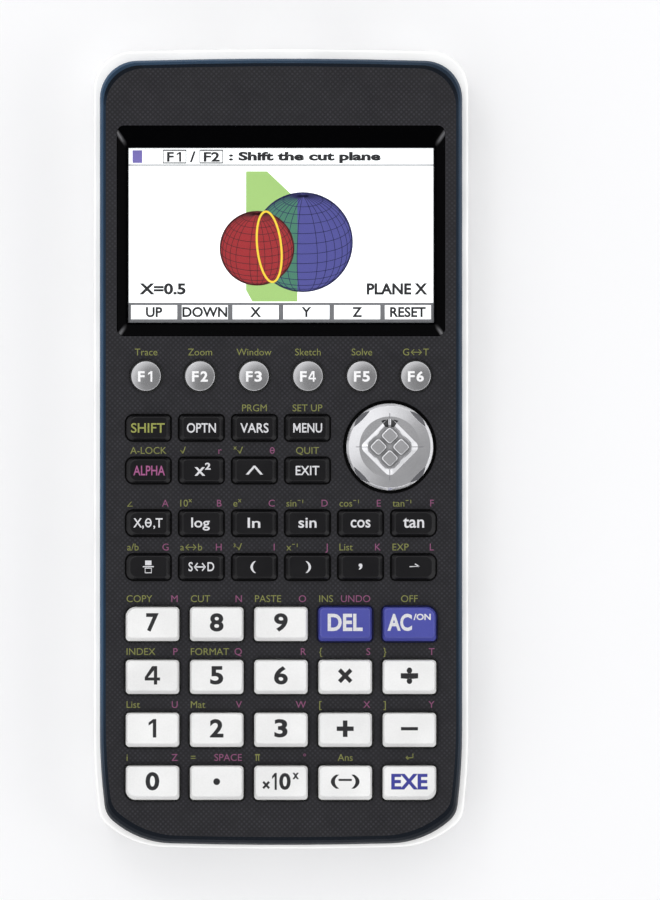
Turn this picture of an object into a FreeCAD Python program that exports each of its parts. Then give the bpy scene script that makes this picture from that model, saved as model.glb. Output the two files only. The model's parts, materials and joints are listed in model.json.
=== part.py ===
"""A handheld graphing calculator, lying on its back.

The origin is the centre of the underside. +X points to the right of the keypad, +Y toward the display end
and +Z out of the keypad. Lengths are in millimetres and angles in degrees.
"""

import FreeCAD, Part
import math
import os
import re

import Sketcher
from FreeCAD import Vector

DIMENSIONS = {
    # Plan outlines: the white rear cover, the foot of the blue edge and the dark face
    "cover_half": 44.5,
    "cover_top": 95.0,
    "cover_flank": -67.3,
    "edge_half": 43.05,
    "edge_top": 92.75,
    "edge_flank": -66.4,
    "face_half": 41.55,
    "face_top": 90.75,
    "face_flank": -64.4,
    # Corners that every plan outline shares
    "top_radius": 9.0,
    "top_crown": 0.5,
    "flank_radius": 150.0,
    "flank_angle": 7.0,
    "knee_radius": 5.75,
    "heel_radius": 22.0,
    "heel_angle": 41.0,
    "sole_angle": 1.56,
    # Levels
    "back_level": 0.5,
    "floor_level": 2.3,
    "seam_level": 13.0,
    "seam_gap": 0.05,
    "deck_level": 15.4,
    "face_level": 17.2,
    "tongue_level": 11.6,
    # Rear cover
    "wall": 2.3,
    "back_fillet": 3.5,
    "rim_fillet": 0.6,
    "rounding_angle": 70.0,
    "fit_gap": 0.1,
    "seat_gap": 0.05,
    "tongue_wall": 1.1,
    "rib_thickness": 1.2,
    "rib_level": 4.6,
    "rib_pitch": 24.0,
    "rib_start": -14.4,
    "rail_depth": 0.6,
    "rail_low": 9.2,
    "rail_high": 10.6,
    "rail_end": 70.0,
    # Battery bay, cells and battery cover
    "bay_half": 21.6,
    "bay_bottom": 25.5,
    "bay_top": 75.5,
    "bay_wall": 1.2,
    "bay_ceiling": 12.25,
    "bay_roof": 12.85,
    "cell_radius": 5.2,
    "cell_length": 44.5,
    "cell_pitch": 10.7,
    "cell_axis": 6.95,
    "nub_radius": 2.75,
    "nub_length": 1.0,
    "contact_half": 4.5,
    "contact_thickness": 0.35,
    "contact_gap": 0.05,
    "dimple_radius": 2.0,
    "coil_radius": 2.9,
    "coil_wire": 0.25,
    "coil_pitch": 0.72,
    "door_half": 23.4,
    "door_top": 78.45,
    "door_inner": 1.6,
    "door_gap": 0.15,
    "door_axis": 23.05,
    "door_pin": 0.4,
    "door_pin_reach": 0.9,
    "door_pin_play": 0.1,
    "door_corner": 1.5,
    "latch_half": 4.0,
    "latch_low": 77.0,
    "latch_high": 77.9,
    "latch_level": 3.4,
    "grip_half": 7.0,
    "grip_first": 70.0,
    "grip_pitch": 1.8,
    "grip_width": 0.8,
    "grip_depth": 0.35,
    # Display
    "window_half": 38.9,
    "window_bottom": 26.8,
    "window_top": 76.7,
    "window_low": 15.2,
    "window_level": 15.9,
    "window_corner": 1.8,
    "window_gap": 0.05,
    "pane_half": 36.9,
    "pane_bottom": 29.4,
    "pane_top": 72.3,
    "pane_corner": 0.9,
    "rim_width": 0.15,
    "ledge_level": 14.5,
    "ledge_margin": 1.8,
    "opening_half": 37.0,
    "opening_bottom": 29.3,
    "opening_top": 72.2,
    "panel_half": 38.3,
    "panel_bottom": 27.6,
    "panel_top": 75.8,
    "panel_low": 12.95,
    "panel_level": 14.45,
    "glass_level": 15.1,
    "glass_margin": 0.2,
    # Keys
    "key_gap": 0.4,
    "key_lip": 0.8,
    "lip_low": 14.55,
    "stem_low": 13.2,
    "stem_radius": 1.6,
    "key_corner": 0.9,
    "function_radius": 3.55,
    "function_gap": 0.5,
    "function_shoulder": 17.7,
    "function_level": 18.15,
    "function_dome": 14.0,
    "function_pitch": 12.8,
    "function_row": 17.3,
    "small_width": 10.4,
    "small_height": 5.9,
    "small_level": 18.0,
    "small_pitch": 12.58,
    "small_soft_corner": 1.7,
    "small_side_slope": 0.85,
    "small_upper_slope": 0.35,
    "small_lower_slope": 0.55,
    "small_fillet": 0.25,
    "shift_row": 5.0,
    "alpha_row": -5.1,
    "log_row": -17.6,
    "bracket_row": -28.0,
    "number_width": 12.7,
    "number_height": 8.1,
    "number_level": 18.6,
    "number_pitch": 15.23,
    "number_row": -41.5,
    "number_row_pitch": 12.55,
    "number_soft_corner": 2.3,
    "number_side_slope": 0.45,
    "number_upper_slope": 0.3,
    "number_lower_slope": 0.9,
    "number_fillet": 0.35,
    # Cursor disc and the ball-headed post it rocks on
    "cursor_x": 25.8,
    "cursor_y": 0.5,
    "cursor_radius": 10.3,
    "cursor_hole": 11.1,
    "cursor_lip": 12.0,
    "cursor_lip_low": 13.5,
    "cursor_lip_level": 14.2,
    "cursor_edge_level": 17.5,
    "cursor_brim_level": 18.1,
    "cursor_crest_radius": 7.2,
    "cursor_level": 18.6,
    "cursor_flat_inner": 8.5,
    "cursor_flat_drop": 1.1,
    "dish_half": 5.1,
    "dish_floor_half": 4.1,
    "dish_floor": 17.8,
    "dish_corner": 1.4,
    "petal_half": 1.55,
    "petal_centre": 1.9,
    "petal_level": 18.3,
    "petal_corner": 0.8,
    "petal_fillet": 0.3,
    "plunger_reach": 7.6,
    "ball_radius": 1.9,
    "ball_level": 14.6,
    "ball_play": 0.1,
    "post_radius": 0.9,
    "post_low": 11.4,
    "foot_radius": 1.5,
    "foot_level": 12.0,
    # Rubber dome sheet
    "sheet_half": 36.2,
    "sheet_bottom": -84.0,
    "sheet_top": 22.9,
    "sheet_low": 10.85,
    "sheet_level": 11.25,
    "sheet_corner": 3.0,
    "dome_level": 13.1,
    "dome_base": 2.6,
    "dome_hollow": 2.1,
    "dome_taper": 28.0,
    "dome_roof": 0.5,
    # Main board
    "board_half": 40.2,
    "board_bottom": -84.4,
    "board_top": 90.5,
    "board_top_corner": 18.0,
    "board_bottom_corner": 8.0,
    "board_low": 9.6,
    "board_level": 10.8,
    "board_gap": 0.8,
    "chip_level": 8.4,
    "processor_size": 14.0,
    "processor_y": -30.0,
    "memory_x": 20.5,
    "memory_y": -31.0,
    "memory_width": 11.0,
    "memory_height": 9.0,
    "power_y": -56.0,
    "power_width": 8.0,
    "power_height": 6.0,
    "usb_x": 14.0,
    "usb_half": 3.85,
    "usb_low": 5.7,
    "usb_back": 83.0,
    "usb_skin": 0.4,
    "usb_depth": 7.0,
    "usb_corner": 0.8,
    "jack_x": -14.0,
    "jack_half": 3.2,
    "jack_low": 4.0,
    "jack_axis": 7.0,
    "jack_radius": 1.3,
    "jack_back": 79.0,
    "jack_depth": 11.0,
    "jack_opening": 2.6,
    "socket_front": 92.3,
    "socket_clearance": 0.3,
    # Case screws and the bosses they join
    "screw_radius": 1.0,
    "screw_head": 1.95,
    "screw_seat": 3.0,
    "screw_head_height": 1.3,
    "screw_tip": 13.2,
    "screw_slot_half": 1.2,
    "screw_slot_width": 0.5,
    "screw_slot_depth": 0.7,
    "bore_play": 0.25,
    "thread_play": 0.05,
    "rear_boss": 3.2,
    "front_boss": 2.1,
    "boss_play": 0.1,
    "thread_level": 14.2,
    "screw_top_x": 36.5,
    "screw_top_y": 86.0,
    "screw_middle_x": 38.6,
    "screw_middle_y": 11.3,
    "screw_bottom_x": 35.0,
    "screw_bottom_y": -86.5,
    # Rubber feet and reset button
    "foot_pad_radius": 4.5,
    "foot_pad_x": 34.0,
    "foot_pad_y": 74.0,
    "foot_pad_level": 1.0,
    "foot_pad_fillet": 0.2,
    "reset_x": -30.0,
    "reset_y": 4.0,
    "reset_radius": 1.4,
    "reset_play": 0.2,
    "reset_low": 1.0,
    "reset_tip": 8.3,
    "reset_collar": 2.3,
    "reset_collar_low": 5.1,
    "reset_collar_level": 5.8,
    "reset_guide": 2.7,
    "reset_guide_level": 5.0,
    "reset_switch": 8.9,
    "reset_switch_half": 1.6,
}

# Counts and angles that stay the same whatever the sizes
ROUNDING_STEPS = 4
FLOOR_RIBS = 3
GRIP_GROOVES = 4
CURSOR_FLATS = 4
FULL_TURN = 360
DIAGONAL = 45
LEVEL_TOLERANCE = 1e-4

doc = FreeCAD.newDocument("GraphingCalculator")
sheet = doc.addObject("Spreadsheet::Sheet", "Dims")
for row, (name, size) in enumerate(DIMENSIONS.items(), start=1):
    sheet.set(f"A{row}", name)
    sheet.set(f"B{row}", str(size))
    sheet.setAlias(f"B{row}", name)
doc.recompute()


# Expressions, sketches and features


def cells(text):
    """The expression with each dimension's name pointed at its cell."""

    def point(word):
        return f"Dims.{word[0]}" if word[0] in DIMENSIONS else word[0]

    return re.sub(r"[a-z][a-z_]+", point, str(text))


def number(text):
    """The value of an expression, for a first guess at geometry that the same expression then drives."""
    return float(sheet.evalExpression(cells(text)))


def new_body(label):
    body = doc.addObject("PartDesign::Body", label)
    body.Label = label
    return body


def new_sketch(body, role="XY_Plane", level="0", x="0", y="0"):
    """A sketch on one of the body's origin planes, moved along the plane's normal and across it."""
    plane = next(item for item in body.Origin.OriginFeatures if item.Role == role)
    sketch = body.newObject("Sketcher::SketchObject", f"{body.Name}_sketch")
    sketch.AttachmentSupport = [(plane, "")]
    sketch.MapMode = "FlatFace"
    for axis, shift in zip("xyz", (x, y, level)):
        sketch.setExpression(f"AttachmentOffset.Base.{axis}", cells(shift))
    return sketch


def drive(sketch, sizes):
    """Adds constraints whose values sheet expressions set; sizes holds (constraint, expression) pairs."""
    first = sketch.ConstraintCount
    sketch.addConstraint([constraint for constraint, _ in sizes])
    for index, (_, expression) in enumerate(sizes, start=first):
        name = f"size{index}"
        sketch.renameConstraint(index, name)
        sketch.setExpression(f"Constraints.{name}", cells(expression))


def point_sizes(geometry, end, x, y):
    """The sizes that place one end of a line or arc, or a circle's centre, from the sketch's origin."""
    return [
        (Sketcher.Constraint("DistanceX", -1, 1, geometry, end, number(x)), x),
        (Sketcher.Constraint("DistanceY", -1, 1, geometry, end, number(y)), y),
    ]


def radius_size(geometry, radius):
    return (Sketcher.Constraint("Radius", geometry, number(radius)), radius)


def arc_between(start, end, radius):
    """The shorter anticlockwise arc from start to end."""
    chord = end - start
    rise = math.sqrt(max(radius**2 - (chord.Length / 2) ** 2, 0))
    normal = Vector(-chord.y, chord.x, 0).normalize()
    centre = (start + end) / 2 + normal * rise
    angles = [math.atan2(point.y - centre.y, point.x - centre.x) for point in (start, end)]
    return Part.ArcOfCircle(Part.Circle(centre, Vector(0, 0, 1), radius), *angles)


def joined_ends(sides, following):
    """Each side's end with the start of the one that follows it, as a coincidence needs them."""
    return [(side, 2, successor, 1) for side, successor in zip(sides, following)]


def draw_loop(sketch, corners, radii):
    """A closed anticlockwise loop; a side runs from its corner to the next, straight where its radius is None."""
    points = [Vector(number(x), number(y), 0) for x, y in corners]
    count = len(corners)
    sides = []
    for index, radius in enumerate(radii):
        start, end = points[index], points[(index + 1) % count]
        if radius is None:
            side = Part.LineSegment(start, end)
        else:
            side = arc_between(start, end, number(radius))
        sides.append(sketch.addGeometry(side, False))
    following = sides[1:] + sides[:1]
    joints = [Sketcher.Constraint("Coincident", *pair) for pair in joined_ends(sides, following)]
    sketch.addConstraint(joints)
    sizes = []
    for side, corner, radius in zip(sides, corners, radii):
        sizes += point_sizes(side, 1, *corner)
        if radius is not None:
            sizes.append(radius_size(side, radius))
    drive(sketch, sizes)


def draw_polygon(sketch, corners):
    draw_loop(sketch, corners, [None] * len(corners))


def draw_rectangle(sketch, left, right, bottom, top):
    draw_polygon(sketch, [(left, bottom), (right, bottom), (right, top), (left, top)])


def draw_rounded(sketch, left, right, bottom, top, radii):
    """A rectangle whose corner radii run lower left, lower right, upper right, upper left."""
    lower_left, lower_right, upper_right, upper_left = [f"({radius})" for radius in radii]
    corners = [
        (f"({left}) + {lower_left}", bottom),
        (f"({right}) - {lower_right}", bottom),
        (right, f"({bottom}) + {lower_right}"),
        (right, f"({top}) - {upper_right}"),
        (f"({right}) - {upper_right}", top),
        (f"({left}) + {upper_left}", top),
        (left, f"({top}) - {upper_left}"),
        (left, f"({bottom}) + {lower_left}"),
    ]
    sides = [None, lower_right, None, upper_right, None, upper_left, None, lower_left]
    draw_loop(sketch, corners, sides)


def draw_circle(sketch, x, y, radius):
    centre = Vector(number(x), number(y), 0)
    circle = sketch.addGeometry(Part.Circle(centre, Vector(0, 0, 1), number(radius)), False)
    drive(sketch, point_sizes(circle, 3, x, y) + [radius_size(circle, radius)])


def draw_outline(sketch, half, top, flank):
    """The case's plan: straight sides, round top corners, a faint crown, and sides easing into a wide heel."""
    flank_slope = "(90 - flank_angle)"
    corners = [(half, flank)]
    turns = [("flank_radius", "90", flank_slope), ("knee_radius", flank_slope, "heel_angle")]
    turns.append(("heel_radius", "heel_angle", "sole_angle"))
    for radius, upper, lower in turns:
        x, y = corners[-1]
        corners.append((
            f"{x} - {radius} * (sin({upper} * 1 deg) - sin({lower} * 1 deg))",
            f"{y} - {radius} * (cos({lower} * 1 deg) - cos({upper} * 1 deg))",
        ))
    right_side = corners[::-1]
    left_side = [(f"-({x})", y) for x, y in corners]
    shoulder = f"{top} - top_crown"
    across = f"{half} - top_radius"
    upper = [
        (half, f"{shoulder} - top_radius"),
        (across, shoulder),
        (f"-({across})", shoulder),
        (f"-({half})", f"{shoulder} - top_radius"),
    ]
    turn_radii = [radius for radius, _, _ in turns]
    crown_radius = f"(({across})^2 + top_crown^2) / (2 * top_crown)"
    sole_radius = f"({right_side[0][0]}) / sin(sole_angle * 1 deg)"
    upper_radii = [None, "top_radius", crown_radius, "top_radius", None]
    radii = turn_radii[::-1] + upper_radii + turn_radii + [sole_radius]
    draw_loop(sketch, right_side + upper + left_side, radii)


def add_feature(body, kind, sketch, low="0", high="0", taper=None, up=True):
    """A pad or pocket from the sketch's plane; its length is the step from low to high."""
    feature = body.newObject(f"PartDesign::{kind}", f"{body.Name}_{kind.lower()}")
    feature.Profile = sketch
    feature.setExpression("Length", cells(f"({high}) - ({low})"))
    feature.Reversed = up if kind == "Pocket" else not up
    if taper is not None:
        feature.setExpression("TaperAngle", cells(taper))
    body.Tip = feature
    return feature


def pad_up(body, low, high, draw, taper=None):
    """Pads upward from low to high whatever draw puts in the sketch."""
    sketch = new_sketch(body, level=low)
    draw(sketch)
    return add_feature(body, "Pad", sketch, low, high, taper)


def cut_up(body, low, high, draw, taper=None):
    """Cuts upward from low to high."""
    sketch = new_sketch(body, level=low)
    draw(sketch)
    return add_feature(body, "Pocket", sketch, low, high, taper)


def pad_along_y(body, start, end, draw):
    """Pads along +Y from start to end; the sketch's own axes are the object's X and Z."""
    sketch = new_sketch(body, "XZ_Plane", level=f"-({start})")
    draw(sketch)
    return add_feature(body, "Pad", sketch, start, end, up=False)


def cut_along_y(body, start, end, draw):
    sketch = new_sketch(body, "XZ_Plane", level=f"-({start})")
    draw(sketch)
    return add_feature(body, "Pocket", sketch, start, end, up=False)


def loft_between(body, kind, lower, upper):
    """A straight-sided loft between two sketches; kind is Additive or Subtractive."""
    loft = body.newObject(f"PartDesign::{kind}Loft", f"{body.Name}_loft")
    loft.Profile = lower
    loft.Sections = [upper]
    loft.Ruled = True
    body.Tip = loft
    return loft


def spin(body, sketch):
    """Revolves a sketch drawn to the right of its vertical axis."""
    turn = body.newObject("PartDesign::Revolution", f"{body.Name}_revolution")
    turn.Profile = sketch
    turn.ReferenceAxis = (sketch, ["V_Axis"])
    turn.Angle = FULL_TURN
    body.Tip = turn
    return turn


def edges_at(feature, level):
    """The names of the feature's edges that lie wholly at one level."""
    names = []
    for index, edge in enumerate(feature.Shape.Edges, start=1):
        box = edge.BoundBox
        if max(abs(box.ZMin - level), abs(box.ZMax - level)) < LEVEL_TOLERANCE:
            names.append(f"Edge{index}")
    return names


def fillet_level(body, feature, level, radius):
    """Fillets every edge that lies wholly at one level."""
    doc.recompute()
    rounded = body.newObject("PartDesign::Fillet", f"{body.Name}_fillet")
    rounded.Base = (feature, edges_at(feature, number(level)))
    rounded.setExpression("Radius", cells(radius))
    body.Tip = rounded
    return rounded


# Positions shared by several pieces

SCREWS = [
    (f"{side}{x}", y)
    for side in ("", "-")
    for x, y in (
        ("screw_top_x", "screw_top_y"),
        ("screw_middle_x", "screw_middle_y"),
        ("screw_bottom_x", "screw_bottom_y"),
    )
]
CELLS = [f"{place} * cell_pitch" for place in (-1.5, -0.5, 0.5, 1.5)]

CHIPS = [
    ("0", "processor_y", "processor_size", "processor_size"),
    ("memory_x", "memory_y", "memory_width", "memory_height"),
    ("-memory_x", "memory_y", "memory_width", "memory_height"),
    ("0", "power_y", "power_width", "power_height"),
]


class Key:
    """One key: its name, style, centre and corner radii (lower left, lower right, upper right, upper left)."""

    def __init__(self, label, style, x, y, corners=None):
        self.label = label
        self.style = style
        self.x = x
        self.y = y
        self.corners = corners or ["key_corner"] * 4

    def draw_round(self, sketch, margin, x, y):
        draw_circle(sketch, x, y, f"function_radius + ({margin})")

    def draw(self, sketch, margin="0", x="0", y="0"):
        """The key's plan grown by a margin, about any centre."""
        if self.style == "function":
            self.draw_round(sketch, margin, x, y)
            return
        across = f"{self.style}_width / 2 + ({margin})"
        along = f"{self.style}_height / 2 + ({margin})"
        radii = [f"{corner} + ({margin})" for corner in self.corners]
        draw_rounded(
            sketch, f"{x} - ({across})", f"{x} + {across}", f"{y} - ({along})", f"{y} + {along}", radii
        )

    def draw_top(self, sketch):
        """The key's flat top, drawn in by its slopes; the lower side slopes the most."""
        style = self.style
        side = f"{style}_width / 2 - {style}_side_slope"
        draw_rounded(
            sketch,
            f"-({side})",
            side,
            f"{style}_lower_slope - {style}_height / 2",
            f"{style}_height / 2 - {style}_upper_slope",
            self.corners,
        )


def key_row(style, labels, y, first_column=0, columns=6):
    """A row of equally spaced keys centred on the case; the outer small keys have softer outer corners."""
    keys = []
    for place, label in enumerate(labels, start=first_column):
        corners = ["key_corner"] * 4
        if style == "small" and place == 0:
            corners = ["small_soft_corner", "key_corner", "key_corner", "small_soft_corner"]
        if style == "small" and place == columns - 1:
            corners = ["key_corner", "small_soft_corner", "small_soft_corner", "key_corner"]
        keys.append(Key(label, style, f"{place - (columns - 1) / 2} * {style}_pitch", y, corners))
    return keys


def number_block():
    """Four rows of five keys; the block's own corners are the softest."""
    labels = [
        ["key_7", "key_8", "key_9", "key_delete", "key_all_clear"],
        ["key_4", "key_5", "key_6", "key_multiply", "key_divide"],
        ["key_1", "key_2", "key_3", "key_plus", "key_minus"],
        ["key_0", "key_point", "key_exponent", "key_negative", "key_execute"],
    ]
    rows = []
    for step, names in enumerate(labels):
        rows.append(key_row("number", names, f"(number_row - {step} * number_row_pitch)", columns=5))
    for key, corner in ((rows[3][0], 0), (rows[3][4], 1), (rows[0][4], 2), (rows[0][0], 3)):
        key.corners[corner] = "number_soft_corner"
    return rows


KEY_ROWS = [
    key_row("function", ["key_f1", "key_f2", "key_f3", "key_f4", "key_f5", "key_f6"], "function_row"),
    key_row("small", ["key_shift", "key_options", "key_variables", "key_menu"], "shift_row"),
    key_row("small", ["key_alpha", "key_square", "key_power", "key_exit"], "alpha_row"),
    key_row("small", ["key_variable", "key_log", "key_ln", "key_sin", "key_cos", "key_tan"], "log_row"),
    key_row(
        "small",
        ["key_fraction", "key_convert", "key_open_bracket", "key_close_bracket", "key_comma", "key_store"],
        "bracket_row",
    ),
] + number_block()
KEYS = [key for row in KEY_ROWS for key in row]


def draw_screws(radius):
    def draw(sketch):
        for x, y in SCREWS:
            draw_circle(sketch, x, y, radius)

    return draw


# Sub-parts


def make_rear_cover():
    """The white shell: a tub with the battery bay, screw bosses, cover rails and socket openings."""
    body = new_body("rear_cover")
    tub = pad_up(
        body,
        "back_level",
        "seam_level",
        lambda s: draw_outline(s, "cover_half", "cover_top", "cover_flank"),
    )
    rounded = fillet_level(body, tub, "back_level", "back_fillet")
    fillet_level(body, rounded, "seam_level", "rim_fillet")

    def cavity(sketch):
        draw_outline(sketch, "(cover_half - wall)", "(cover_top - wall)", "(cover_flank + wall)")
        draw_rectangle(
            sketch,
            "-(bay_half + bay_wall)",
            "bay_half + bay_wall",
            "bay_bottom - bay_wall",
            "bay_top + bay_wall",
        )

    cut_up(body, "floor_level", "seam_level", cavity)
    cut_up(
        body,
        "bay_roof",
        "seam_level",
        lambda s: draw_rectangle(
            s,
            "-(bay_half + 2 * bay_wall)",
            "bay_half + 2 * bay_wall",
            "bay_bottom - 2 * bay_wall",
            "bay_top + 2 * bay_wall",
        ),
    )
    cut_up(
        body,
        "0",
        "bay_ceiling",
        lambda s: draw_rectangle(s, "-bay_half", "bay_half", "bay_bottom", "bay_top"),
    )
    cut_up(
        body,
        "0",
        "door_inner + seat_gap",
        lambda s: draw_rounded(
            s,
            "-(door_half + door_gap)",
            "door_half + door_gap",
            "door_axis - (door_inner - back_level) / 2 - door_gap",
            "door_top + door_gap",
            ["door_gap", "door_gap", "door_corner", "door_corner"],
        ),
    )
    cut_up(
        body,
        "back_level",
        "floor_level",
        lambda s: draw_rectangle(
            s,
            "-(latch_half + 2 * door_gap)",
            "latch_half + 2 * door_gap",
            "latch_low - 2 * door_gap",
            "latch_high + 2 * door_gap",
        ),
    )
    hinge = new_sketch(body, "YZ_Plane", level="-(door_half + door_pin_reach + door_gap)")
    draw_circle(hinge, "door_axis", "(back_level + door_inner) / 2", "door_pin + door_pin_play")
    add_feature(body, "Pocket", hinge, "0", "2 * (door_half + door_pin_reach + door_gap)")

    def ribs(sketch):
        for step in range(FLOOR_RIBS):
            middle = f"rib_start - {step} * rib_pitch"
            draw_rectangle(
                sketch,
                "-(cover_half - wall / 2)",
                "cover_half - wall / 2",
                f"{middle} - rib_thickness / 2",
                f"{middle} + rib_thickness / 2",
            )

    pad_up(body, "floor_level - wall / 2", "rib_level", ribs)
    pad_up(body, "floor_level - wall / 2", "board_low - boss_play", draw_screws("rear_boss"))
    cut_up(body, "0", "screw_seat", draw_screws("screw_head + bore_play"))
    cut_up(body, "0", "board_low", draw_screws("screw_radius + bore_play"))
    pad_up(
        body,
        "floor_level - wall / 2",
        "reset_guide_level",
        lambda s: draw_circle(s, "reset_x", "reset_y", "reset_guide"),
    )
    cut_up(
        body, "0", "board_low", lambda s: draw_circle(s, "reset_x", "reset_y", "reset_radius + reset_play")
    )
    cut_up(body, "0", "foot_pad_level + seat_gap", lambda s: draw_feet(s, "foot_pad_radius + seat_gap"))

    def rails(sketch):
        for left, right in (
            ("cover_half - rail_depth", "cover_half + wall"),
            ("-(cover_half + wall)", "-(cover_half - rail_depth)"),
        ):
            draw_rectangle(sketch, left, right, "-(cover_top + wall)", "rail_end")

    cut_up(body, "rail_low", "rail_high", rails)

    def sockets(sketch):
        draw_circle(sketch, "jack_x", "jack_axis", "jack_opening")
        draw_rounded(
            sketch,
            "usb_x - usb_half - socket_clearance",
            "usb_x + usb_half + socket_clearance",
            "usb_low - socket_clearance",
            "board_low + socket_clearance",
            ["usb_corner"] * 4,
        )

    cut_along_y(body, "socket_front - fit_gap", "cover_top + wall", sockets)
    return body


def draw_feet(sketch, radius):
    for x in ("foot_pad_x", "-foot_pad_x"):
        for y in ("foot_pad_y", "-foot_pad_y"):
            draw_circle(sketch, x, y, radius)


def make_rubber_feet():
    """Four round pads, each seated in a shallow pocket of the rear cover."""
    body = new_body("rubber_feet")
    pads = pad_up(body, "0", "foot_pad_level", lambda s: draw_feet(s, "foot_pad_radius"))
    fillet_level(body, pads, "0", "foot_pad_fillet")
    return body


def draw_lid_section(body, place):
    """One plan of the lid's rounded edge: 0 is at the seam and ROUNDING_STEPS is the flat face."""
    turn = f"({place} / {ROUNDING_STEPS} * rounding_angle * 1 deg)"
    rise = f"sin({turn}) / sin(rounding_angle * 1 deg)"
    inset = f"(1 - cos({turn})) / (1 - cos(rounding_angle * 1 deg))"
    foot = "(seam_level + seam_gap)"
    section = new_sketch(body, level=f"{foot} + (face_level - {foot}) * {rise}")
    sizes = [f"(edge_{size} + (face_{size} - edge_{size}) * {inset})" for size in ("half", "top", "flank")]
    draw_outline(section, *sizes)
    return section


def make_front_case():
    """The dark face: a round-edged lid with a display pocket, key windows and screw posts."""
    body = new_body("front_case")
    for step in range(ROUNDING_STEPS):
        lower, upper = [draw_lid_section(body, place) for place in (step, step + 1)]
        loft_between(body, "Additive", lower, upper)
    pad_up(
        body,
        "tongue_level",
        "seam_level + seam_gap",
        lambda s: draw_outline(
            s,
            "(cover_half - wall - fit_gap)",
            "(cover_top - wall - fit_gap)",
            "(cover_flank + wall + fit_gap)",
        ),
    )
    inner = "wall + fit_gap + tongue_wall"
    cut_up(
        body,
        "tongue_level",
        "deck_level",
        lambda s: draw_outline(
            s, f"(cover_half - ({inner}))", f"(cover_top - ({inner}))", f"(cover_flank + {inner})"
        ),
    )
    pad_up(
        body,
        "ledge_level",
        "deck_level",
        lambda s: draw_rectangle(
            s,
            "-(window_half + ledge_margin)",
            "window_half + ledge_margin",
            "window_bottom - ledge_margin",
            "window_top + ledge_margin",
        ),
    )
    cut_up(
        body,
        "tongue_level",
        "face_level",
        lambda s: draw_rectangle(s, "-opening_half", "opening_half", "opening_bottom", "opening_top"),
    )
    cut_up(
        body,
        "window_low - window_gap",
        "face_level",
        lambda s: draw_rounded(
            s,
            "-(window_half + window_gap)",
            "window_half + window_gap",
            "window_bottom - window_gap",
            "window_top + window_gap",
            ["window_corner"] * 4,
        ),
    )
    for row in KEY_ROWS:
        gap = "function_gap" if row[0].style == "function" else "key_gap"

        def windows(sketch):
            for key in row:
                key.draw(sketch, gap, key.x, key.y)

        cut_up(body, "tongue_level", "face_level", windows)
    cut_up(
        body,
        "tongue_level",
        "face_level",
        lambda s: draw_circle(s, "cursor_x", "cursor_y", "cursor_hole"),
    )
    pad_up(body, "board_level + boss_play", "deck_level + boss_play", draw_screws("front_boss"))
    cut_up(body, "board_level", "thread_level", draw_screws("screw_radius + thread_play"))
    return body


def make_display_window():
    """A clear pane moulded in one with a frame that slopes up to the face."""
    body = new_body("display_window")

    def plan(sketch, inset="0"):
        draw_rounded(
            sketch,
            f"-(window_half - {inset})",
            f"window_half - {inset}",
            f"window_bottom + {inset}",
            f"window_top - {inset}",
            [f"window_corner - {inset}"] * 4,
        )

    pad_up(body, "window_low", "face_level", plan)
    pane = new_sketch(body, level="window_level")
    draw_rounded(pane, "-pane_half", "pane_half", "pane_bottom", "pane_top", ["pane_corner"] * 4)
    rim = new_sketch(body, level="face_level")
    plan(rim, "rim_width")
    loft_between(body, "Subtractive", pane, rim)
    return body


def make_lcd_module():
    """A flat display module whose glass stands up inside the case's opening."""
    body = new_body("lcd_module")
    pad_up(
        body,
        "panel_low",
        "panel_level",
        lambda s: draw_rectangle(s, "-panel_half", "panel_half", "panel_bottom", "panel_top"),
    )
    pad_up(
        body,
        "panel_level",
        "glass_level",
        lambda s: draw_rectangle(
            s,
            "-(opening_half - glass_margin)",
            "opening_half - glass_margin",
            "opening_bottom + glass_margin",
            "opening_top - glass_margin",
        ),
    )
    return body


def make_battery_cover():
    """A thin door with a rounded hinge end, stub pins, a latch tongue and a ridged finger grip."""
    body = new_body("battery_cover")
    corner = "(door_corner - door_gap)"

    def plate(sketch):
        corners = [
            ("-door_half", "door_axis"),
            ("door_half", "door_axis"),
            ("door_half", f"door_top - {corner}"),
            (f"door_half - {corner}", "door_top"),
            (f"-(door_half - {corner})", "door_top"),
            ("-door_half", f"door_top - {corner}"),
        ]
        draw_loop(sketch, corners, [None, None, corner, None, corner, None])

    pad_up(body, "back_level", "door_inner", plate)
    for half_length, radius in (
        ("door_half", "(door_inner - back_level) / 2"),
        ("(door_half + door_pin_reach)", "door_pin"),
    ):
        barrel = new_sketch(body, "YZ_Plane", level=f"-{half_length}")
        draw_circle(barrel, "door_axis", "(back_level + door_inner) / 2", radius)
        add_feature(body, "Pad", barrel, "0", f"2 * {half_length}")
    pad_up(
        body,
        "door_inner - door_gap",
        "latch_level",
        lambda s: draw_rectangle(s, "-latch_half", "latch_half", "latch_low", "latch_high"),
    )

    def ridges(sketch):
        for step in range(GRIP_GROOVES):
            low = f"grip_first + {step} * grip_pitch"
            draw_rectangle(sketch, "-grip_half", "grip_half", low, f"{low} + grip_width")

    cut_up(body, "back_level", "back_level + grip_depth", ridges)
    return body


def draw_cells(radius, places=range(4)):
    def draw(sketch):
        for place in places:
            draw_circle(sketch, CELLS[place], "cell_axis", radius)

    return draw


BAY_MIDDLE = "((bay_bottom + bay_top) / 2)"
CELL_LOW = f"({BAY_MIDDLE} - cell_length / 2)"
CELL_HIGH = f"({BAY_MIDDLE} + cell_length / 2)"


def make_battery_cells():
    """Four AAA cells side by side, every second one turned end for end."""
    body = new_body("battery_cells")
    pad_along_y(body, CELL_LOW, CELL_HIGH, draw_cells("cell_radius"))
    pad_along_y(body, CELL_HIGH, f"{CELL_HIGH} + nub_length", draw_cells("nub_radius", (0, 2)))
    pad_along_y(body, f"{CELL_LOW} - nub_length", CELL_LOW, draw_cells("nub_radius", (1, 3)))
    return body


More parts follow.
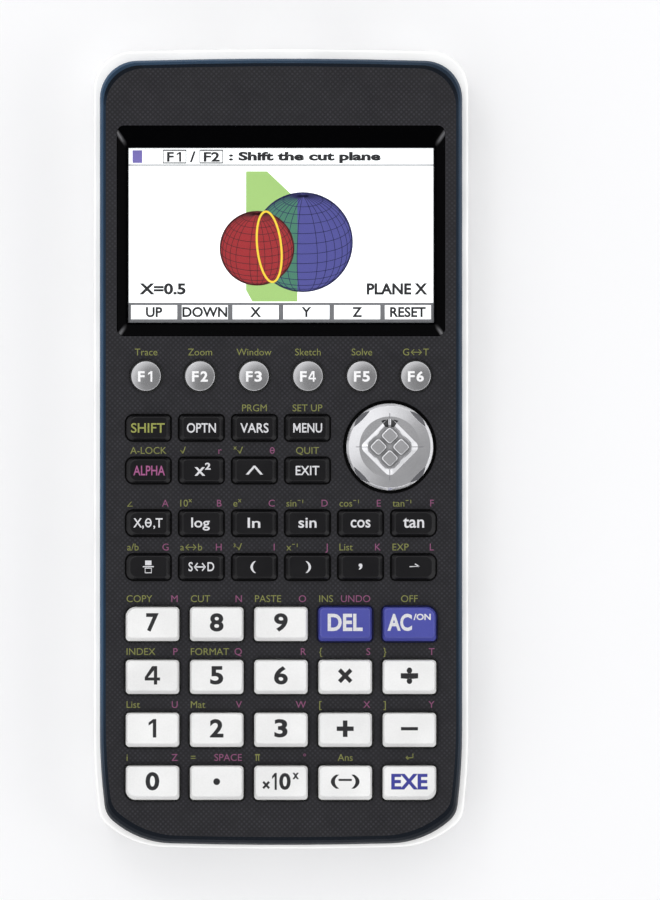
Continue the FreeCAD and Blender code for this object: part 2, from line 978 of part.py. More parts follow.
def make_battery_contacts():
    """Eight spring-metal plates: four with a dimple for a cell's nub, four with a coil spring."""
    body = new_body("battery_contacts")

    def plates(sketch):
        for x in CELLS:
            draw_rectangle(
                sketch,
                f"{x} - contact_half",
                f"{x} + contact_half",
                "cell_axis - contact_half",
                "cell_axis + contact_half",
            )

    low_plate = "(bay_bottom + contact_gap)"
    high_plate = "(bay_top - contact_gap)"
    pad_along_y(body, low_plate, f"{low_plate} + contact_thickness", plates)
    pad_along_y(body, f"{high_plate} - contact_thickness", high_plate, plates)
    pad_along_y(
        body,
        f"{low_plate} + contact_thickness",
        f"{CELL_LOW} - nub_length - contact_gap",
        draw_cells("dimple_radius", (1, 3)),
    )
    pad_along_y(
        body,
        f"{CELL_HIGH} + nub_length + contact_gap",
        f"{high_plate} - contact_thickness",
        draw_cells("dimple_radius", (0, 2)),
    )
    plate_faces = {
        0: f"({low_plate} + contact_thickness + coil_wire / 2)",
        1: f"({high_plate} - contact_thickness - coil_wire / 2)",
    }
    for place, x in enumerate(CELLS):
        high_end = place % 2
        coil = new_sketch(body, "XY_Plane", level="cell_axis", x=x, y=plate_faces[high_end])
        draw_circle(coil, "coil_radius", "0", "coil_wire")
        spring = body.newObject("PartDesign::AdditiveHelix", f"{body.Name}_coil")
        spring.Profile = coil
        spring.ReferenceAxis = (coil, ["V_Axis"])
        spring.Mode = "pitch-height-angle"
        spring.setExpression("Pitch", cells("coil_pitch"))
        reach = f"({CELL_LOW} - {plate_faces[0]} - coil_wire - contact_gap)"
        spring.setExpression("Height", cells(reach))
        spring.Reversed = bool(high_end)
        body.Tip = spring
    return body


def make_case_screws():
    """Six pan-head screws with a cross recess."""
    body = new_body("case_screws")
    pad_up(body, "screw_seat - screw_head_height", "screw_seat", draw_screws("screw_head"))
    pad_up(body, "screw_seat", "screw_tip", draw_screws("screw_radius"))
    arms = ["screw_slot_half", "screw_slot_width / 2"]
    for across, along in (arms, arms[::-1]):

        def slots(sketch):
            for x, y in SCREWS:
                draw_rectangle(
                    sketch, f"{x} - {across}", f"{x} + {across}", f"{y} - {along}", f"{y} + {along}"
                )

        head_face = "screw_seat - screw_head_height"
        cut_up(body, head_face, f"{head_face} + screw_slot_depth", slots)
    return body


def make_main_board():
    """The circuit board, with a window for the battery bay and its soldered chips, switch and sockets."""
    body = new_body("main_board")

    def outline(sketch):
        draw_rounded(
            sketch,
            "-board_half",
            "board_half",
            "board_bottom",
            "board_top",
            ["board_bottom_corner"] * 2 + ["board_top_corner"] * 2,
        )
        draw_rectangle(
            sketch,
            "-(bay_half + bay_wall + board_gap)",
            "bay_half + bay_wall + board_gap",
            "bay_bottom - bay_wall - board_gap",
            "bay_top + bay_wall + board_gap",
        )

    pad_up(body, "board_low", "board_level", outline)
    middle_screws = [place for place in SCREWS if "middle" in place[0]]
    cut_up(
        body,
        "board_low",
        "board_level",
        lambda s: [draw_circle(s, *place, "screw_radius + 2 * bore_play") for place in middle_screws],
    )

    def chips(sketch):
        for x, y, across, along in CHIPS:
            draw_rectangle(
                sketch,
                f"{x} - {across} / 2",
                f"{x} + {across} / 2",
                f"{y} - {along} / 2",
                f"{y} + {along} / 2",
            )

    pad_up(body, "chip_level", "board_low", chips)
    pad_up(
        body,
        "reset_switch",
        "board_low",
        lambda s: draw_rectangle(
            s,
            "reset_x - reset_switch_half",
            "reset_x + reset_switch_half",
            "reset_y - reset_switch_half",
            "reset_y + reset_switch_half",
        ),
    )
    pad_up(
        body,
        "usb_low",
        "board_low",
        lambda s: draw_rectangle(s, "usb_x - usb_half", "usb_x + usb_half", "usb_back", "socket_front"),
    )
    pad_up(
        body,
        "jack_low",
        "board_low",
        lambda s: draw_rectangle(
            s, "jack_x - jack_half", "jack_x + jack_half", "jack_back", "socket_front"
        ),
    )
    cut_along_y(
        body,
        "socket_front - usb_depth",
        "socket_front",
        lambda s: draw_rounded(
            s,
            "usb_x - usb_half + usb_skin",
            "usb_x + usb_half - usb_skin",
            "usb_low + usb_skin",
            "board_low - usb_skin",
            ["usb_skin"] * 4,
        ),
    )
    pad_along_y(
        body,
        "socket_front - usb_depth",
        "socket_front - 2 * usb_skin",
        lambda s: draw_rectangle(
            s,
            "usb_x - usb_half / 2",
            "usb_x + usb_half / 2",
            "(usb_low + board_low) / 2 - usb_skin",
            "(usb_low + board_low) / 2 + usb_skin",
        ),
    )
    cut_along_y(
        body,
        "socket_front - jack_depth",
        "socket_front",
        lambda s: draw_circle(s, "jack_x", "jack_axis", "jack_radius"),
    )
    return body


def make_key_dome_sheet():
    """One moulded rubber sheet with a hollow dome under every key and four under the cursor disc."""
    body = new_body("key_dome_sheet")
    pad_up(
        body,
        "sheet_low",
        "sheet_level",
        lambda s: draw_rounded(
            s, "-sheet_half", "sheet_half", "sheet_bottom", "sheet_top", ["sheet_corner"] * 4
        ),
    )
    centres = [(key.x, key.y) for key in KEYS]
    for x, y in ((1, 0), (0, 1), (-1, 0), (0, -1)):
        centres.append((f"cursor_x + {x} * plunger_reach", f"cursor_y + {y} * plunger_reach"))

    def circles(radius):
        return lambda s: [draw_circle(s, x, y, radius) for x, y in centres]

    pad_up(body, "sheet_level", "dome_level", circles("dome_base"), "-dome_taper")
    cut_up(body, "sheet_low", "dome_level - dome_roof", circles("dome_hollow"), "-dome_taper")
    return body


def make_reset_button():
    """A recessed pin pressed from the back, held by a collar above its guide."""
    body = new_body("reset_button")
    centre = ("reset_x", "reset_y")
    pad_up(body, "reset_low", "reset_tip", lambda s: draw_circle(s, *centre, "reset_radius"))
    pad_up(
        body,
        "reset_collar_low",
        "reset_collar_level",
        lambda s: draw_circle(s, *centre, "reset_collar"),
    )
    return body


def make_cursor_pivot():
    """A ball-headed post under the cursor disc, standing on a small foot."""
    body = new_body("cursor_pivot")
    profile = new_sketch(body, "XZ_Plane")
    neck = "(ball_level - sqrt(ball_radius^2 - post_radius^2))"
    draw_loop(
        profile,
        [
            ("0", "post_low"),
            ("foot_radius", "post_low"),
            ("foot_radius", "foot_level"),
            ("post_radius", "foot_level"),
            ("post_radius", neck),
            ("0", "ball_level + ball_radius"),
        ],
        [None, None, None, None, "ball_radius", None],
    )
    spin(body, profile)
    body.setExpression(".Placement.Base.x", cells("cursor_x"))
    body.setExpression(".Placement.Base.y", cells("cursor_y"))
    return body


def draw_square(sketch, half, corner):
    draw_rounded(sketch, f"-{half}", half, f"-{half}", half, [corner] * 4)


def make_cursor_disc():
    """A round rocker with four diagonal flats, a square dish with four petals, and a ball socket beneath.

    It is drawn with the flats facing X and Y, and its Placement turns them onto the diagonals.
    """
    body = new_body("cursor_disc")
    profile = new_sketch(body, "XZ_Plane")
    socket = "(ball_radius + ball_play)"
    mouth = f"sqrt({socket}^2 - (ball_level - cursor_lip_low)^2)"
    draw_polygon(
        profile,
        [
            ("0", "cursor_lip_low"),
            ("cursor_lip", "cursor_lip_low"),
            ("cursor_lip", "cursor_lip_level"),
            ("cursor_radius", "cursor_lip_level"),
            ("cursor_radius", "cursor_edge_level"),
            ("cursor_radius - cursor_brim_level + cursor_edge_level", "cursor_brim_level"),
            ("cursor_crest_radius", "cursor_level"),
            ("0", "cursor_level"),
        ],
    )
    spin(body, profile)
    hollow = new_sketch(body, "XZ_Plane")
    draw_loop(
        hollow,
        [("0", "cursor_lip_low"), (mouth, "cursor_lip_low"), ("0", f"ball_level + {socket}")],
        [None, socket, None],
    )
    groove = body.newObject("PartDesign::Groove", "cursor_disc_groove")
    groove.Profile = hollow
    groove.ReferenceAxis = (hollow, ["V_Axis"])
    groove.Angle = FULL_TURN
    body.Tip = groove
    wedge = new_sketch(body, "XZ_Plane", level="cursor_radius")
    draw_polygon(
        wedge,
        [
            ("cursor_flat_inner", "cursor_level"),
            ("cursor_radius", "cursor_level - cursor_flat_drop"),
            ("cursor_radius", "cursor_level"),
        ],
    )
    flat = add_feature(body, "Pocket", wedge, "0", "2 * cursor_radius", up=False)
    flats = body.newObject("PartDesign::PolarPattern", "cursor_disc_flats")
    flats.Originals = [flat]
    flats.Axis = (new_sketch(body), ["N_Axis"])
    flats.Angle = FULL_TURN
    flats.Occurrences = CURSOR_FLATS
    body.Tip = flats
    dish_floor = new_sketch(body, level="dish_floor")
    draw_square(dish_floor, "dish_floor_half", "dish_corner")
    dish_rim = new_sketch(body, level="cursor_level")
    draw_square(dish_rim, "dish_half", "dish_corner")
    loft_between(body, "Subtractive", dish_floor, dish_rim)

    def petals(sketch):
        for x, y in ((1, 1), (-1, 1), (-1, -1), (1, -1)):
            draw_rounded(
                sketch,
                f"{x} * petal_centre - petal_half",
                f"{x} * petal_centre + petal_half",
                f"{y} * petal_centre - petal_half",
                f"{y} * petal_centre + petal_half",
                ["petal_corner"] * 4,
            )

    raised = pad_up(body, "dish_floor - petal_fillet", "petal_level", petals)
    fillet_level(body, raised, "petal_level", "petal_fillet")

    def plungers(sketch):
        reach = f"plunger_reach * cos({DIAGONAL} deg)"
        for x in (reach, f"-{reach}"):
            for y in (reach, f"-{reach}"):
                draw_circle(sketch, x, y, "stem_radius")

    pad_up(body, "stem_low", "cursor_lip_low", plungers)
    body.setExpression(".Placement.Base.x", cells("cursor_x"))
    body.setExpression(".Placement.Base.y", cells("cursor_y"))
    body.Placement.Rotation = FreeCAD.Rotation(Vector(0, 0, 1), DIAGONAL)
    return body


def make_function_key(key):
    """A round key with a domed top, turned in one profile with its lip and stem."""
    body = new_body(key.label)
    profile = new_sketch(body, "XZ_Plane")
    draw_loop(
        profile,
        [
            ("0", "stem_low"),
            ("stem_radius", "stem_low"),
            ("stem_radius", "lip_low"),
            ("function_radius + key_lip", "lip_low"),
            ("function_radius + key_lip", "deck_level - seam_gap"),
            ("function_radius", "deck_level - seam_gap"),
            ("function_radius", "function_shoulder"),
            ("0", "function_level"),
        ],
        [None, None, None, None, None, None, "function_dome", None],
    )
    turned = spin(body, profile)
    fillet_level(body, turned, "function_shoulder", "small_fillet")
    return body


def make_flat_key(key):
    """A rounded rectangular key: straight through its window, then lofted in to a smaller top."""
    body = new_body(key.label)
    pad_up(body, "deck_level - seam_gap", "face_level", key.draw)
    shoulder = new_sketch(body, level="face_level")
    key.draw(shoulder)
    top = new_sketch(body, level=f"{key.style}_level")
    key.draw_top(top)
    cap = loft_between(body, "Additive", shoulder, top)
    fillet_level(body, cap, f"{key.style}_level", f"{key.style}_fillet")
    pad_up(body, "lip_low", "deck_level - seam_gap", lambda s: key.draw(s, "key_lip"))
    pad_up(body, "stem_low", "lip_low", lambda s: draw_circle(s, "0", "0", "stem_radius"))
    return body


def make_key(key):
    body = make_function_key(key) if key.style == "function" else make_flat_key(key)
    body.setExpression(".Placement.Base.x", cells(key.x))
    body.setExpression(".Placement.Base.y", cells(key.y))
    return body


def check_document(parts):
    """Stops on any failed object, and on any sub-part whose shape is empty or invalid."""
    failed = [item.Label for item in doc.Objects if {"Invalid", "Error"} & set(item.State)]
    broken = [part.Label for part in parts if part.Shape.isNull() or not part.Shape.isValid()]
    if failed or broken:
        raise SystemExit(f"failed objects: {failed}; broken shapes: {broken}")


def main():
    parts = [
        make_rear_cover(),
        make_rubber_feet(),
        make_front_case(),
        make_display_window(),
        make_lcd_module(),
        make_battery_cover(),
        make_battery_cells(),
        make_battery_contacts(),
        make_case_screws(),
        make_main_board(),
        make_key_dome_sheet(),
        make_reset_button(),
        make_cursor_pivot(),
        make_cursor_disc(),
    ]
    parts += [make_key(key) for key in KEYS]
    doc.recompute()
    check_document(parts)
    os.makedirs("parts", exist_ok=True)
    for part in parts:
        part.Shape.exportStep(f"parts/{part.Label}.step")


main()
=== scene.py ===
"""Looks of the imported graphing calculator: materials, print, screen picture, domes, stage and camera."""

import json
import math
import string

import bmesh
import bpy
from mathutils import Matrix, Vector
from mathutils.bvhtree import BVHTree


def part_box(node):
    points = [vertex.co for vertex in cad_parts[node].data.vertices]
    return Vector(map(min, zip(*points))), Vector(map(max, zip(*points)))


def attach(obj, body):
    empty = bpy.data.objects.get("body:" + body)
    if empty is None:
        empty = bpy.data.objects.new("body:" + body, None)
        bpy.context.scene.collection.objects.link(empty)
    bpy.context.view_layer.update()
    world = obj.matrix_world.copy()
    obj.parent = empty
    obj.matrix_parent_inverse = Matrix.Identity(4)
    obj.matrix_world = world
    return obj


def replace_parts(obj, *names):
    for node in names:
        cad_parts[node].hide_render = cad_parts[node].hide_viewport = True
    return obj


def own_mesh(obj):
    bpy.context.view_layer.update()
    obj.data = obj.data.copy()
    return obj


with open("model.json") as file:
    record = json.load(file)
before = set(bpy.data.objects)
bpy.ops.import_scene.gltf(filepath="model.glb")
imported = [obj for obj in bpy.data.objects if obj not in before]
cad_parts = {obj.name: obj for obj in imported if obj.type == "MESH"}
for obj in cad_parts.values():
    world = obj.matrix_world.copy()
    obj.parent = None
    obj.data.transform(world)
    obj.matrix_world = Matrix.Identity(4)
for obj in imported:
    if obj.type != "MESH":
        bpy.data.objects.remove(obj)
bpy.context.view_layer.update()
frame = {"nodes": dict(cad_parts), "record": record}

NODES = frame["nodes"]
RECORD = frame["record"]
MM = 0.001
ROOT = "calculator"
UP = Vector((0, 0, 1))
SLOT_OF = {part["node"]: part["material_slot"] for part in RECORD["subparts"]}
SLOT_COLOR = {slot["slot"]: slot["base_color"][:3] for slot in RECORD["materials"]}

# Linear colours of the printed legends and of the case
KEY_YELLOW = (0.30, 0.32, 0.07)
KEY_PINK = (0.36, 0.09, 0.24)
KEY_WHITE = (0.70, 0.70, 0.72)
KEY_DARK = (0.010, 0.010, 0.012)
KEY_BLUE = (0.035, 0.04, 0.30)
KEY_SILVER = (0.97, 0.97, 0.98)
FACE_YELLOW = (0.20, 0.21, 0.055)
FACE_PINK = (0.24, 0.07, 0.16)
FACE_COLOR = (0.0098, 0.0095, 0.0117)
SMALL_KEY_COLOR = (0.0052, 0.0049, 0.0060)
EDGE_BLUE = (0.017, 0.060, 0.125)
EDGE_DARK = (0.0028, 0.0032, 0.0052)

INK = 0.012 * MM  # thickness of print
LIFT = 0.002 * MM  # gap under print that follows a surface
LAYER = 0.012 * MM  # from one layer of the screen's picture to the next
CAP_HEIGHT = 0.682  # of the font's own units
SPLIT_ROUNDS = 3  # how often long edges of print on a curved key are halved
NOTCHED = set("M4")  # letters that the font breaks when it thickens them

# In millimetres
DISPLAY_DOT = 0.19  # pitch of the display's dots
CELL_BAND = 60.0  # the y at which the coloured band on the cells starts
MITRE_SLANT = 0.72  # distance across for one along, of the mitres between the slopes round the window
MITRE_GLINT_FADE = (0.1, 0.75)  # from the line of one of the mitres, where its painted glint starts and ends fading
MITRE_GLINT_START = (0.2, 1.6)  # from the clear part, where the painted glint starts and ends growing


# Shader building


class Shader:
    """A node material or world under construction. Most methods add nodes and return an output socket."""

    def __init__(self, name, kind="Material"):
        self.owner = (bpy.data.worlds if kind == "World" else bpy.data.materials).new(name)
        self.owner.use_nodes = True
        self.tree = self.owner.node_tree
        self.tree.nodes.clear()
        self.output = self.tree.nodes.new(f"ShaderNodeOutput{kind}")

    def node(self, kind, inputs=None, **settings):
        node = self.tree.nodes.new(f"ShaderNode{kind}")
        for key, value in settings.items():
            setattr(node, key, value)
        for key, value in (inputs or {}).items():
            if isinstance(value, bpy.types.NodeSocket):
                self.tree.links.new(value, node.inputs[key])
            else:
                node.inputs[key].default_value = value
        return node

    def place(self):
        """The point's place in the row frame, in millimetres."""
        point = self.node("TexCoord").outputs["Object"]
        return self.node("VectorMath", {0: point, "Scale": 1 / MM}, operation="SCALE").outputs[0]

    def math(self, operation, first, second=0.0, clamp=False):
        return self.node("Math", {0: first, 1: second}, operation=operation, use_clamp=clamp).outputs[0]

    def product(self, first, second, clamp=False):
        return self.math("MULTIPLY", first, second, clamp)

    def dot(self, first, second):
        return self.node("VectorMath", {0: first, 1: second}, operation="DOT_PRODUCT").outputs["Value"]

    def parts(self, vector):
        """The x, y and z of a vector socket."""
        return self.node("SeparateXYZ", {0: vector}).outputs

    def noise(self, size, detail=3.0, point=None):
        """Noise from 0 to 1 whose features are about size millimetres across."""
        source = self.place() if point is None else point
        inputs = {"Vector": source, "Scale": 1.0 / size, "Detail": detail}
        return self.node("TexNoise", inputs).outputs["Fac"]

    def ramp(self, value, low, high, start=0.0, end=1.0):
        """Goes from low to high as the value goes from start to end, and stays within them."""
        inputs = {"Value": value, "From Min": start, "From Max": end, "To Min": low, "To Max": high}
        return self.node("MapRange", inputs).outputs[0]

    def mix(self, share, first, second, blend="MIX"):
        """Mixed colours. This node's sockets are found by number, because its kinds share names."""
        node = self.tree.nodes.new("ShaderNodeMix")
        node.data_type = "RGBA"
        node.blend_type = blend
        for socket, value in ((node.inputs[0], share), (node.inputs[6], first), (node.inputs[7], second)):
            if isinstance(value, bpy.types.NodeSocket):
                self.tree.links.new(value, socket)
            else:
                socket.default_value = value
        return node.outputs[2]

    def stripes(self, pitch, angle):
        """Soft parallel bands from 0 to 1, pitch millimetres apart, across a direction in the XY plane."""
        direction = (math.cos(angle) / pitch, math.sin(angle) / pitch, 0)
        phase = self.product(self.dot(self.place(), direction), math.tau)
        return self.ramp(self.math("SINE", phase), 0, 1, -1, 1)

    def crossed(self, pitch, angle=0.0):
        """Two sets of bands at right angles, multiplied."""
        return self.product(self.stripes(pitch, angle + math.pi / 2), self.stripes(pitch, angle))

    def edges(self, radius):
        """A normal rounded over the edges, and how much of an edge each point is, from 0 to 1."""
        rounded = self.node("Bevel", {"Radius": radius * MM}, samples=4).outputs[0]
        align = self.dot(rounded, self.node("NewGeometry").outputs["Normal"])
        return rounded, self.ramp(align, 1.0, 0.0, 0.72, 0.995)

    def bump(self, height, depth, normal=None):
        inputs = {"Height": height, "Distance": depth * MM, "Strength": 1.0}
        if normal is not None:
            inputs["Normal"] = normal
        return self.node("Bump", inputs).outputs[0]

    def surface(self, socket):
        """Ends the tree in this socket, and returns the finished material or world."""
        self.tree.links.new(socket, self.output.inputs["Surface"])
        return self.owner

    def principled(self, inputs):
        return self.surface(self.node("BsdfPrincipled", inputs).outputs[0])


def opaque(color):
    return (*color, 1.0)


def shade(color, factor):
    """A colour made lighter or darker, with its alpha."""
    return opaque([min(1.0, channel * factor) for channel in color])


def plastic(
    name, color, roughness=0.42, grain=0.35, depth=0.004, wear=0.25, metallic=0.0, weave=None, bevel=0.14,
    coat=0.0, worn=1.5, gleam=0.5, gap_shade_reach=0.0, painted_top_light=0.0,
):
    """Moulded plastic: tint drift, handling smudges in the sheen, moulding grain, worn edges, painted shade
    beside gaps and painted light on faces that point up.

    Grain and depth are the size and depth of the moulding grain, bevel is the radius of rounded edges, and
    the gap shade reach is how far painted shade darkens the colour and sheen beside gaps, all in millimetres.
    Wear is how much of the colour times worn shows on the edges. A weave is (pitch, strength, paler factor).
    The top light is painted light: the strength of an emission of the plastic's own colour on faces that
    point up.
    """
    shader = Shader(name)
    drift = shader.ramp(shader.noise(14, 4), 0.0, 1.0, 0.3, 0.7)
    base = shader.mix(drift, shade(color, 0.93), shade(color, 1.07))
    speck = shader.ramp(shader.noise(0.28, 2), 0.0, 1.0, 0.35, 0.65)
    base = shader.mix(0.10, base, shader.mix(speck, shade(color, 0.75), shade(color, 1.3)))
    height = shader.noise(grain, 2)
    if weave:
        pitch, share, paler = weave
        patchy = shader.ramp(shader.noise(2.5, 3), 0.45, 1.25, 0.3, 0.7)
        cross = shader.product(shader.crossed(pitch, -math.pi / 4), patchy)
        base = shader.mix(shader.product(cross, share, clamp=True), base, shade(color, paler))
        height = shader.math("ADD", shader.product(height, 0.5), shader.product(cross, 0.8))
    normal, edge = shader.edges(bevel)
    rubbed = shader.product(edge, shader.ramp(shader.noise(2.2, 4), 0.2, 1.0, 0.35, 0.65))
    base = shader.mix(shader.product(rubbed, wear, clamp=True), base, shade(color, worn))
    smudge = shader.ramp(shader.noise(6, 5), -0.05, 0.07, 0.3, 0.7)
    gloss = shader.math("ADD", smudge, shader.ramp(rubbed, roughness, roughness * 0.8), clamp=True)
    # Painted shade: near gaps and raised parts, found by ambient occlusion, the colour darkens toward black
    # and the sheen drops.
    if gap_shade_reach:
        unshaded_share = shader.node("AmbientOcclusion", {"Distance": gap_shade_reach * MM}, samples=6).outputs["AO"]
        unshaded_share = shader.ramp(unshaded_share, 0.0, 1.0, 0.45, 0.98)
        base = shader.mix(unshaded_share, shade(color, 0.1), base)
        gleam = shader.product(unshaded_share, gleam)
    painted_emission = 0.0
    # Painted light: faces that point up give off a faint emission of the plastic's own colour.
    if painted_top_light:
        facing = shader.parts(shader.node("NewGeometry").outputs["Normal"])[2]
        painted_emission = shader.ramp(facing, 0.0, painted_top_light, 0.35, 0.95)
    return shader.principled({
        "Base Color": base,
        "Roughness": gloss,
        "Metallic": metallic,
        "Coat Weight": coat,
        "Coat Roughness": 0.25,
        "Specular IOR Level": gleam,
        "Emission Color": base,
        "Emission Strength": painted_emission,
        "Normal": shader.bump(height, depth, normal),
    })


def rim_lacquer(name):
    """The case's rounded edge: blue where steep and black toward the face, with painted shade that fades it
    to black toward the heel and the right.
    """
    shader = Shader(name)
    rounded, edge = shader.edges(0.25)
    across, along = shader.parts(shader.place())[:2]
    steep = shader.ramp(shader.parts(rounded)[2], 1.0, 0.0, 0.42, 0.80)
    # Painted shade: the blue fades out toward the heel and darkens toward the right flank, as if lit from the
    # upper left.
    painted_heel_shade = shader.ramp(along, 0.06, 1.0, -84.0, -52.0)
    painted_light_from_left = shader.ramp(across, 1.0, 0.5, -40.0, 40.0)
    drift = shader.product(shader.ramp(shader.noise(9, 4), 0.85, 1.0, 0.3, 0.7), painted_light_from_left)
    share = shader.product(shader.product(steep, painted_heel_shade), drift)
    return shader.principled({
        "Base Color": shader.mix(share, opaque(EDGE_DARK), opaque(EDGE_BLUE)),
        "Roughness": shader.ramp(shader.noise(5, 4), 0.34, 0.48),
        "Specular IOR Level": shader.ramp(edge, 0.12, 0.3),
        "Specular Tint": (0.55, 0.75, 1.0, 1.0),
        "Normal": shader.bump(shader.noise(0.4, 2), 0.002, rounded),
    })


def metal(name, color, roughness=0.3, brushed=None):
    """Plated or brushed metal with fine scratches and a slightly uneven tint."""
    shader = Shader(name)
    base = shader.mix(shader.noise(3, 4), shade(color, 0.82), shade(color, 1.1))
    if brushed:
        squash = shader.node("VectorMath", {0: shader.place(), 1: brushed}, operation="MULTIPLY").outputs[0]
        height = shader.noise(1.0, 3, squash)
    else:
        height = shader.noise(0.2, 3)
    normal, _ = shader.edges(0.06)
    gloss = shader.ramp(shader.noise(1.4, 4), roughness * 0.8, roughness * 1.3)
    return shader.principled({
        "Base Color": base, "Roughness": gloss, "Metallic": 1.0, "Normal": shader.bump(height, 0.002, normal),
    })


def rubber(name, color, see_through=0.0):
    """Matte rubber with a dusty bloom and fine pits."""
    shader = Shader(name)
    bloom = shader.ramp(shader.noise(4, 5), 0.0, 0.35, 0.4, 0.75)
    base = shader.mix(bloom, opaque(color), shade([channel + 0.03 for channel in color], 1.4))
    return shader.principled({
        "Base Color": base,
        "Roughness": shader.ramp(shader.noise(1.5), 0.6, 0.85),
        "Transmission Weight": see_through,
        "Normal": shader.bump(shader.noise(0.22, 3), 0.012),
    })


def ink(name, color, roughness=0.5):
    """Pad-printed ink: slightly mottled, with worn pinholes in the sheen."""
    shader = Shader(name)
    mottle = shader.ramp(shader.noise(0.5, 4), 0.0, 1.0, 0.3, 0.7)
    base = shader.mix(mottle, shade(color, 0.92), shade(color, 1.08))
    return shader.principled({
        "Base Color": base,
        "Roughness": shader.ramp(shader.noise(0.8), roughness - 0.08, roughness + 0.08),
        "Normal": shader.bump(shader.noise(0.15, 2), 0.0015),
    })


def lit(name, color, strength):
    """A lit patch of the display, faintly divided into the display's dots."""
    shader = Shader(name)
    dots = shader.crossed(DISPLAY_DOT)
    cast = shader.ramp(shader.noise(30, 2), 0.97, 1.03)
    tone = shader.product(shader.ramp(dots, 0.9, 1.0), cast)
    grey = shader.node("CombineColor", {0: tone, 1: tone, 2: tone}).outputs[0]
    toned = shader.mix(1.0, opaque(color), grey, "MULTIPLY")
    return shader.principled({
        "Base Color": toned,
        "Roughness": 0.5,
        "Emission Color": toned,
        "Emission Strength": strength,
        "Normal": shader.bump(dots, 0.001),
    })


def window_glass(name, half, low, high):
    """Hard-coated window: clear over the display, black around it, with a painted glint, a pale streak of
    colour and sheen, along each of the mitres.

    The clear part reaches half to each side of x = 0, and from low to high in y, all in millimetres.
    """
    shader = Shader(name)
    across, along = shader.parts(shader.place())[:2]
    out_across = shader.math("SUBTRACT", shader.math("ABSOLUTE", across), half)
    from_middle = shader.math("ABSOLUTE", shader.math("SUBTRACT", along, (low + high) / 2))
    out_along = shader.math("SUBTRACT", from_middle, (high - low) / 2)
    beside = shader.math("GREATER_THAN", out_across, 0.0)
    beyond = shader.math("GREATER_THAN", out_along, 0.0)
    border = shader.math("MAXIMUM", beside, beyond)
    # Painted glint: along the mitres at the border's corners, the black turns pale grey and takes more sheen.
    skew = shader.math("SUBTRACT", out_across, shader.product(out_along, MITRE_SLANT))
    painted_glint = shader.ramp(shader.math("ABSOLUTE", skew), 1.0, 0.0, *MITRE_GLINT_FADE)
    for out in (out_across, out_along):
        painted_glint = shader.product(painted_glint, shader.ramp(out, 0.0, 1.0, *MITRE_GLINT_START))
    fine = shader.noise(0.8, 6)
    gloss = shader.ramp(shader.noise(9, 6), 0.04, 0.13)
    dark = shader.mix(fine, (0.0005, 0.0005, 0.0007, 1), (0.0011, 0.0011, 0.0014, 1))
    black = shader.node("BsdfPrincipled", {
        "Base Color": shader.mix(painted_glint, dark, (0.10, 0.10, 0.105, 1)),
        "Roughness": gloss,
        "Specular IOR Level": shader.ramp(painted_glint, 0.02, 0.3),
        "Normal": shader.bump(fine, 0.0006),
    }).outputs[0]
    clear = shader.node("BsdfTransparent", {"Color": (0.985, 0.99, 0.99, 1)}).outputs[0]
    mirror = shader.node("BsdfGlossy", {"Roughness": gloss}).outputs[0]
    outside = shader.math("SUBTRACT", 1.0, shader.node("NewGeometry").outputs["Backfacing"])
    glint = shader.product(shader.node("Fresnel", {"IOR": 1.4}).outputs[0], outside)
    pane = shader.node("MixShader", {0: glint, 1: clear, 2: mirror}).outputs[0]
    return shader.surface(shader.node("MixShader", {0: border, 1: pane, 2: black}).outputs[0])


def circuit_board(name, color):
    """Solder-masked laminate with copper tracks that show as paler lines and pads."""
    shader = Shader(name)
    lines = shader.math("MAXIMUM", shader.stripes(2.2, 0.0), shader.stripes(3.4, math.pi / 2))
    patch = shader.math("GREATER_THAN", shader.noise(7, 2), 0.48)
    track = shader.product(shader.math("GREATER_THAN", lines, 0.93), patch)
    base = shader.mix(track, opaque(color), shade(color, 2.2))
    weave = shader.crossed(0.5)
    return shader.principled({
        "Base Color": shader.mix(shader.product(weave, 0.2), base, shade(color, 0.6)),
        "Roughness": shader.ramp(shader.noise(2.0), 0.25, 0.4),
        "Normal": shader.bump(shader.math("ADD", track, weave), 0.01),
    })


def cell_jacket(name, color):
    """A printed film jacket with a copper-coloured band at one end."""
    shader = Shader(name)
    band = shader.math("GREATER_THAN", shader.parts(shader.place())[1], CELL_BAND)
    base = shader.mix(band, opaque(color), (0.55, 0.28, 0.11, 1))
    return shader.principled({
        "Base Color": shader.mix(shader.ramp(shader.noise(5, 4), 0.0, 0.3), base, (0.3, 0.3, 0.3, 1)),
        "Roughness": shader.ramp(shader.noise(2.0), 0.22, 0.38),
        "Metallic": shader.ramp(band, 0.1, 0.8),
        "Normal": shader.bump(shader.noise(0.6), 0.004),
    })


def stage_material(name, color):
    shader = Shader(name)
    base = shader.mix(shader.noise(60, 4), shade(color, 0.99), shade(color, 1.01))
    return shader.principled({"Base Color": base, "Roughness": 0.9, "Specular IOR Level": 0.1})


# Where things are, in millimetres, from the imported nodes


def box_mm(node):
    low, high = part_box(node)
    return low / MM, high / MM


def centre_mm(node):
    low, high = box_mm(node)
    return (low + high) / 2


# The picture, set in from the display window's sides, low end and high end
WINDOW_LOW, WINDOW_HIGH = box_mm("display_window")
SCREEN_HALF = WINDOW_HIGH.x - 2.75
SCREEN_LOW = WINDOW_LOW.y + 3.3
SCREEN_HIGH = WINDOW_HIGH.y - 5.3
CLEAR_MARGIN = 0.12  # of clear window around the picture
GLASS_TOP = box_mm("lcd_module")[1].z
FACE_LEVEL = box_mm("front_case")[1].z
GAP_SHADE_DEPTH = 2.0  # below the face, where the lower faces of a key or the disc, painted near-black as shade in the gaps, start
DISC = centre_mm("cursor_disc")
DISC_FLATS = 7.5  # from the disc's centre, the least distance of the flats on its edge
KEY_NODES = sorted(name for name in NODES if name.startswith("key_") and name != "key_dome_sheet")


# Mesh pieces


